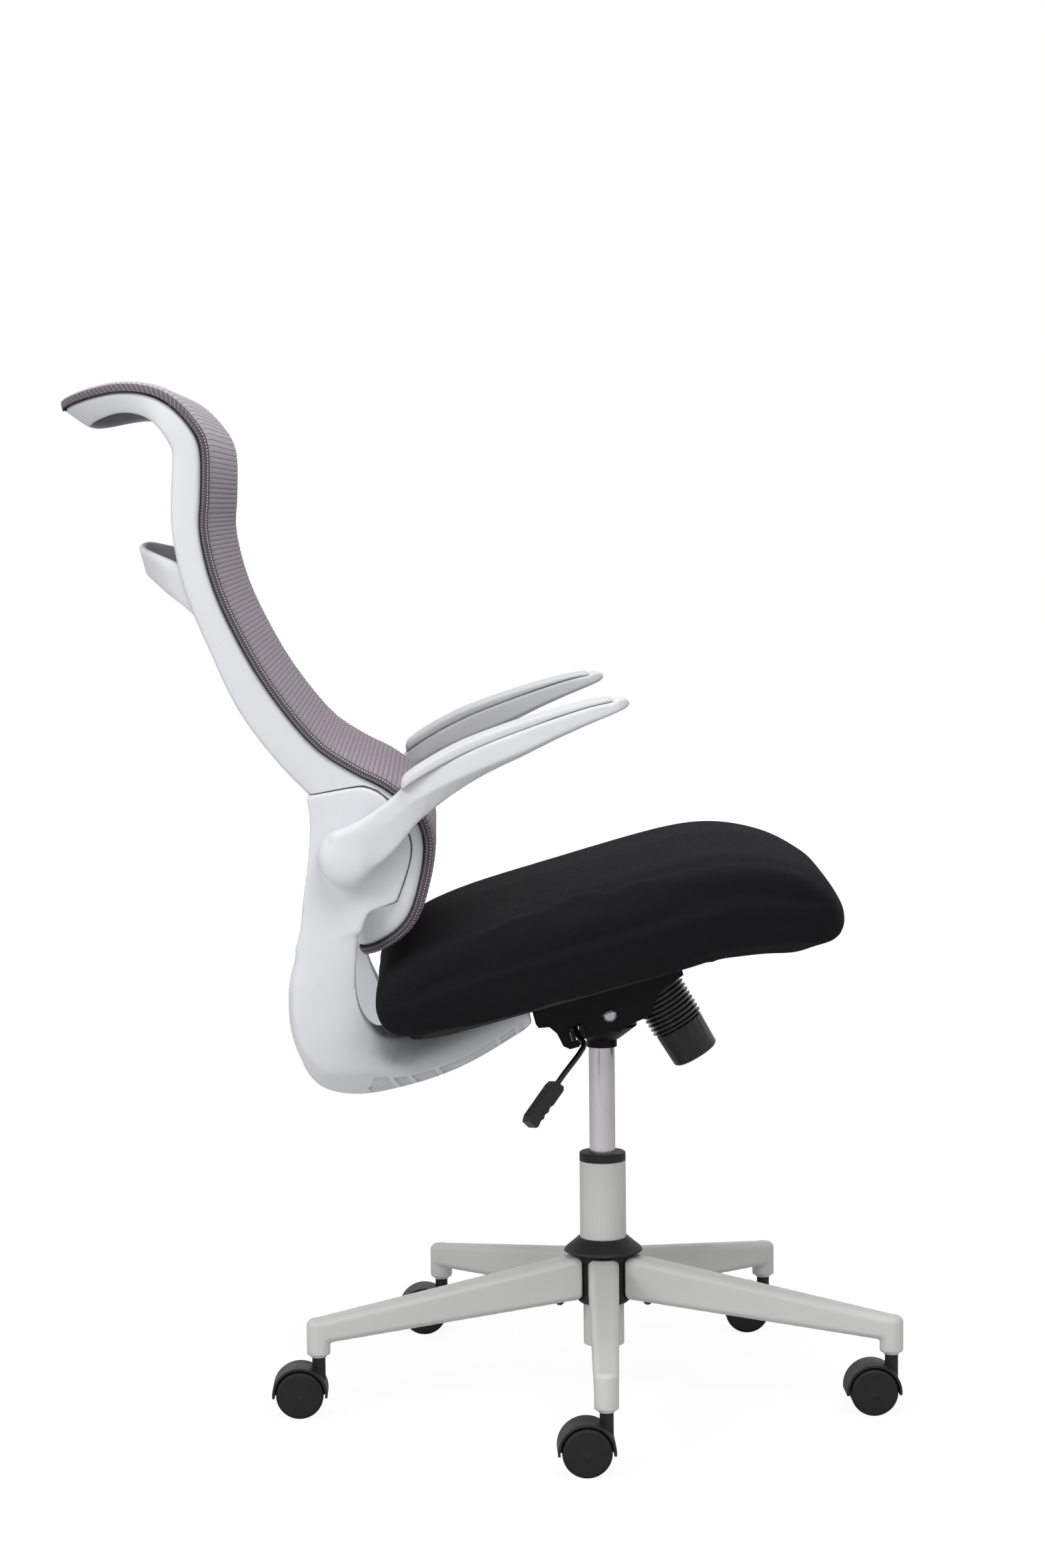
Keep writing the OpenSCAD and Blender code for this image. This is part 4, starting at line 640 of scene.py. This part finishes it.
def stack(upper, lower, height):
    """Keeps one piece above a height and another of the same node below it, as a single piece."""
    work, rest = bmesh.new(), bmesh.new()
    for made, source, side in ((work, upper, 1), (rest, lower, -1)):
        made.from_mesh(source.data)
        everything = made.verts[:] + made.edges[:] + made.faces[:]
        bmesh.ops.bisect_plane(made, geom=everything, dist=1e-6, clear_inner=True,
                               plane_co=(0, 0, height), plane_no=(0, 0, side))
    rest.to_mesh(lower.data)
    work.from_mesh(lower.data)
    work.to_mesh(upper.data)
    work.free()
    rest.free()
    bpy.data.objects.remove(lower)


def recline(points):
    """Points of the level seat and back, in millimetres, turned to their place in metres."""
    a = math.radians(RECLINE)
    p = np.asarray(points, float)
    x, z = p[..., 0] - PIVOT[0], p[..., 2] - PIVOT[1]
    turned = np.stack([PIVOT[0] + x * math.cos(a) - z * math.sin(a), p[..., 1],
                       PIVOT[1] + x * math.sin(a) + z * math.cos(a)], axis=-1)
    return turned * MM


def resample(table, count):
    """Catmull-Rom curve through a table's rows."""
    rows = np.asarray(table, float)
    last = len(rows) - 1
    out = []
    for step in range(count + 1):
        u = step * last / count
        i = min(int(u), last - 1)
        t = u - i
        a, b, c, d = rows[max(i - 1, 0)], rows[i], rows[i + 1], rows[min(i + 2, last)]
        out.append(0.5 * (2 * b + (c - a) * t + (2 * a - 5 * b + 4 * c - d) * t * t
                          + (3 * b - a - 3 * c + d) * t ** 3))
    return np.array(out)


def running(points):
    """Length run along a line of points, from its start to each of them."""
    return np.concatenate([[0], np.cumsum(np.linalg.norm(np.diff(points, axis=0), axis=1))])


class BackLine:
    """The front line of the rails, by its running length."""

    def __init__(self):
        rows = resample(BACK_SHARES, BACK_STEPS)
        reaches = [row[0] for row in BACK_SHARES]
        unit = BACK_REACH / (max(reaches) - min(reaches))
        self.points = np.stack([BACK_X + unit * rows[:, 0], BACK_Z + BACK_RISE * rows[:, 1]], axis=1)
        self.run = running(self.points)
        self.total = self.run[-1]

    def along(self, s):
        return np.stack([np.interp(s, self.run, self.points[:, axis]) for axis in (0, 1)], axis=-1)

    def at(self, s, y, h):
        """Points at running length s, side y and height h in front of the line."""
        step = self.total / BACK_STEPS
        v = self.along(np.minimum(s + step, self.total)) - self.along(np.maximum(s - step, 0))
        v = v / np.linalg.norm(v, axis=-1, keepdims=True)
        p = self.along(s)
        return np.stack([p[..., 0] + h * v[..., 1], y, p[..., 1] - h * v[..., 0]], axis=-1)

    def half_width(self, s):
        """Half the width of the loop, drawn in at its lower corners and at the head."""
        half = BACK_WIDTH / 2
        low_r, head_r = LOW_CORNER + RAIL_WIDTH / 2, HEAD_LENGTH + RAIL_WIDTH / 2
        a = np.clip(low_r - s, 0, None) / low_r
        b = np.clip(head_r - self.total + s, 0, None) / head_r
        return (half - low_r * (1 - np.sqrt(np.clip(1 - a * a, 0, 1)))
                - (half - HEAD_BAR) * (1 - np.sqrt(np.clip(1 - b * b, 0, 1))))


def grid_mesh(name, points, uv):
    """A sheet through a grid of points, with a UV pair for each point."""
    rows, columns = points.shape[:2]
    shape = bpy.data.meshes.new(name)
    index = np.arange(rows * columns).reshape(rows, columns)
    corners = [index[:-1, :-1], index[:-1, 1:], index[1:, 1:], index[1:, :-1]]
    faces = np.stack(corners, axis=-1).reshape(-1, 4)
    shape.from_pydata(points.reshape(-1, 3).tolist(), [], faces.tolist())
    layer = shape.uv_layers.new(name="cloth")
    used = np.zeros(len(shape.loops), int)
    shape.loops.foreach_get("vertex_index", used)
    layer.data.foreach_set("uv", uv.reshape(-1, 2)[used].astype(np.float32).ravel())
    obj = link(bpy.data.objects.new(name, shape))
    shade_smooth(obj)
    return obj


def mesh_rows(line):
    """Places of the rows of points along the back, dense enough for the ribs, and their greatest height."""
    ends = [END_MARGIN + reach for reach, _ in WRAP]
    heights = [height for _, height in WRAP]
    first = END_MARGIN + WRAP_REACH
    count = int((line.total - 2 * first) / RIB_PITCH * RIB_SAMPLES)
    inner = np.linspace(first, line.total - first, count)[1:-1]
    s = np.concatenate([ends, inner, [line.total - end for end in reversed(ends)]])
    highest = np.concatenate([heights, np.full(len(inner), UNBOUND), heights[::-1]])
    return s, highest


def mesh_height(s, reach, end_reach):
    """Height of the mesh over the line: wrapped edge, crown and ribs, by the distances to side and end."""
    crown = CROWN * (1 - np.exp(-np.clip(reach - WRAP_REACH, 0, None) / CROWN_REACH))
    crown *= np.clip(end_reach / CROWN_FADE, 0, 1)[:, None]
    ribs = RIB_HEIGHT * np.abs(np.sin(np.pi * (s / RIB_PITCH % 1.0))) ** RIB_POWER
    ribs = ribs[:, None] * np.clip((reach - RIB_START) / RIB_GROWTH, 0, 1)
    ribs *= np.clip(end_reach / RIB_FADE, 0, 1)[:, None]
    return WRAP_HEIGHT + crown + ribs - RIB_HEIGHT * 0.5


def both_sides(half, sign=1):
    """A grid of one side and its mirror image, which share the middle column."""
    return np.concatenate([sign * half, half[:, -2::-1]], axis=1)


def back_mesh():
    """The ribbed mesh, wrapped over the rails from the line where it meets them inwards."""
    line = BackLine()
    s, highest = mesh_rows(line)
    end_reach = np.minimum(s - END_MARGIN, line.total - END_MARGIN - s)
    half = line.half_width(np.clip(s, END_MARGIN, line.total - END_MARGIN))[:, None]
    wrap, wrap_heights = np.array(WRAP).T
    place = np.concatenate([half - wrap, (half - WRAP_REACH) * (1 - COLUMN_SHARES)], axis=1)
    reach = half - place
    side_highest = np.concatenate([wrap_heights, np.full(len(COLUMN_SHARES), UNBOUND)])
    height = np.minimum(np.minimum(side_highest, highest[:, None]), mesh_height(s, reach, end_reach))

    # Distance in from the edge, measured over the wrap, from the side and near the ends from there
    around = running(np.array(WRAP))
    inner = around[-1] + reach[:, len(WRAP):] - WRAP_REACH
    inward = np.concatenate([np.tile(around, (len(s), 1)), inner], axis=1)
    end_inward = np.minimum(end_reach, END_SPREAD) + np.interp(highest, wrap_heights, around)
    near_end = end_reach[:, None] < END_BORDER
    inward = np.where(near_end, np.minimum(inward, end_inward[:, None]), inward)

    y = both_sides(place, -1)
    grid_s = np.repeat(s[:, None], y.shape[1], axis=1)
    points = recline(line.at(grid_s, y, both_sides(height)))
    uv = np.stack([both_sides(inward) * MM, grid_s * MM], axis=-1)
    cloth = grid_mesh("back_mesh_knit", points[:, ::-1], uv[:, ::-1])
    # The sheet's back side gets the copy of the knit darkened with painted shade.
    cloth.data.materials.append(MESH_SHADED_BACK)
    cloth.data.materials.append(SURFACES["mesh_cloth"])
    thick = cloth.modifiers.new("thickness", "SOLIDIFY")
    thick.thickness = SHEET_THICKNESS * MM
    thick.offset = -1
    thick.material_offset = thick.material_offset_rim = 1
    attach(cloth, "seat_and_back")
    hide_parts("back_mesh")


def inflate(obj):
    """Pressure cloth on a slightly smaller copy, every point held near where it began."""
    shape = obj.data
    start = read_points(shape)
    write_points(shape, start - SEAT_SHRINK * read_points(shape, "normal"))
    cloth = obj.modifiers.new("cloth", "CLOTH")
    cloth.settings.quality = 6
    cloth.settings.mass = 0.4
    cloth.settings.tension_stiffness = 30
    cloth.settings.compression_stiffness = 30
    cloth.settings.bending_stiffness = 4
    cloth.settings.use_pressure = True
    cloth.settings.uniform_pressure_force = SEAT_PRESSURE
    cloth.settings.effector_weights.gravity = 0
    cloth.point_cache.frame_start, cloth.point_cache.frame_end = 1, SEAT_FRAMES
    for step in range(1, SEAT_FRAMES + 1):
        bpy.context.scene.frame_set(step)
    moved = read_points(obj.evaluated_get(bpy.context.evaluated_depsgraph_get()).data)
    obj.modifiers.clear()
    bpy.context.scene.frame_set(1)
    way = moved - start
    length = np.linalg.norm(way, axis=1, keepdims=True)
    write_points(shape, start + way * np.minimum(1, SEAT_PUFF / np.maximum(length, 1e-9)))


def sew_ridge(obj):
    """Draws the shoulder of the cushion out to its sewn ridge, with a slight hollow below it."""
    place = read_points(obj.data) / MM
    normal = read_points(obj.data, "normal")
    sine, cosine = math.sin(math.radians(RECLINE)), math.cos(math.radians(RECLINE))
    level_x = PIVOT[0] + (place[:, 0] - PIVOT[0]) * cosine + (place[:, 2] - PIVOT[1]) * sine
    upward = normal[:, 2] * cosine - normal[:, 0] * sine
    angle = np.degrees(np.arctan2(upward, np.abs(normal[:, 1])))
    begun = np.clip((level_x - RIDGE_FROM) / RIDGE_FADE, 0, 1)
    left = np.clip((RIDGE_TO - level_x) / RIDGE_FADE, 0, 1)
    share = begun * left
    share = share * share * (3 - 2 * share) * (np.abs(place[:, 1]) > RIDGE_LEAST_Y)
    turns = (angle - RIDGE_ANGLE) / RIDGE_SPREAD
    lift = RIDGE_RISE * np.exp(-turns ** 2)
    hollow = RIDGE_HOLLOW * np.exp(-(turns + HOLLOW_SPREADS) ** 2)
    whole = np.full(len(place), DIAGONAL)
    out = np.stack([-sine * whole, np.sign(place[:, 1]) * whole, cosine * whole], axis=1)
    place += out * (lift * share)[:, None] - normal * (hollow * share)[:, None]
    write_points(obj.data, place * MM)


def seat_cushion():
    obj = copy_of("seat_cushion", "seat_cushion_padded")
    remesh(obj, SEAT_VOXEL)
    smooth(obj, FIRST_ROUNDS)
    settle(obj)
    inflate(obj)
    smooth(obj, TAUT_ROUNDS)
    subdivide(obj, 1)
    settle(obj)
    sew_ridge(obj)
    smooth(obj, DRAWN_ROUNDS)
    settle(obj)
    shade_smooth(obj)
    give(obj, "seat_cloth")
    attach(obj, "seat_and_back")
    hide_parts("seat_cushion")


def back_strut():
    """Melted branches on top of the open tray, which keeps its thin ribs."""
    branches = fair("back_strut", "back_strut_moulded", levels=1)
    strut = soften("back_strut", STRUT_VOXEL, STRUT_ROUNDS, "frame_plastic", STRUT_MELTS, branches)
    stack(strut, fair("back_strut", "back_strut_tray", levels=1), STRUT_CUT)


make_camera()
make_stage()
for row in frame["record"]["subparts"]:
    node = row.get("node") or row.get("name")
    if node in NODES and row.get("material_slot") in SURFACES:
        give(NODES[node], row["material_slot"])

back_mesh()
seat_cushion()
for node in ("back_frame", "coat_hanger"):
    crisp(node, "frame_plastic")
for node in ("right_pad", "left_pad"):
    crisp(node, "pad_plastic")
back_strut()
for node in ("right_arm", "left_arm"):
    soften(node, ARM_VOXEL, ARM_ROUNDS, "frame_plastic", ARM_MELTS)
for leg in range(1, 6):
    soften(f"leg_{leg}", LEG_VOXEL, LEG_ROUNDS, "base_plastic")
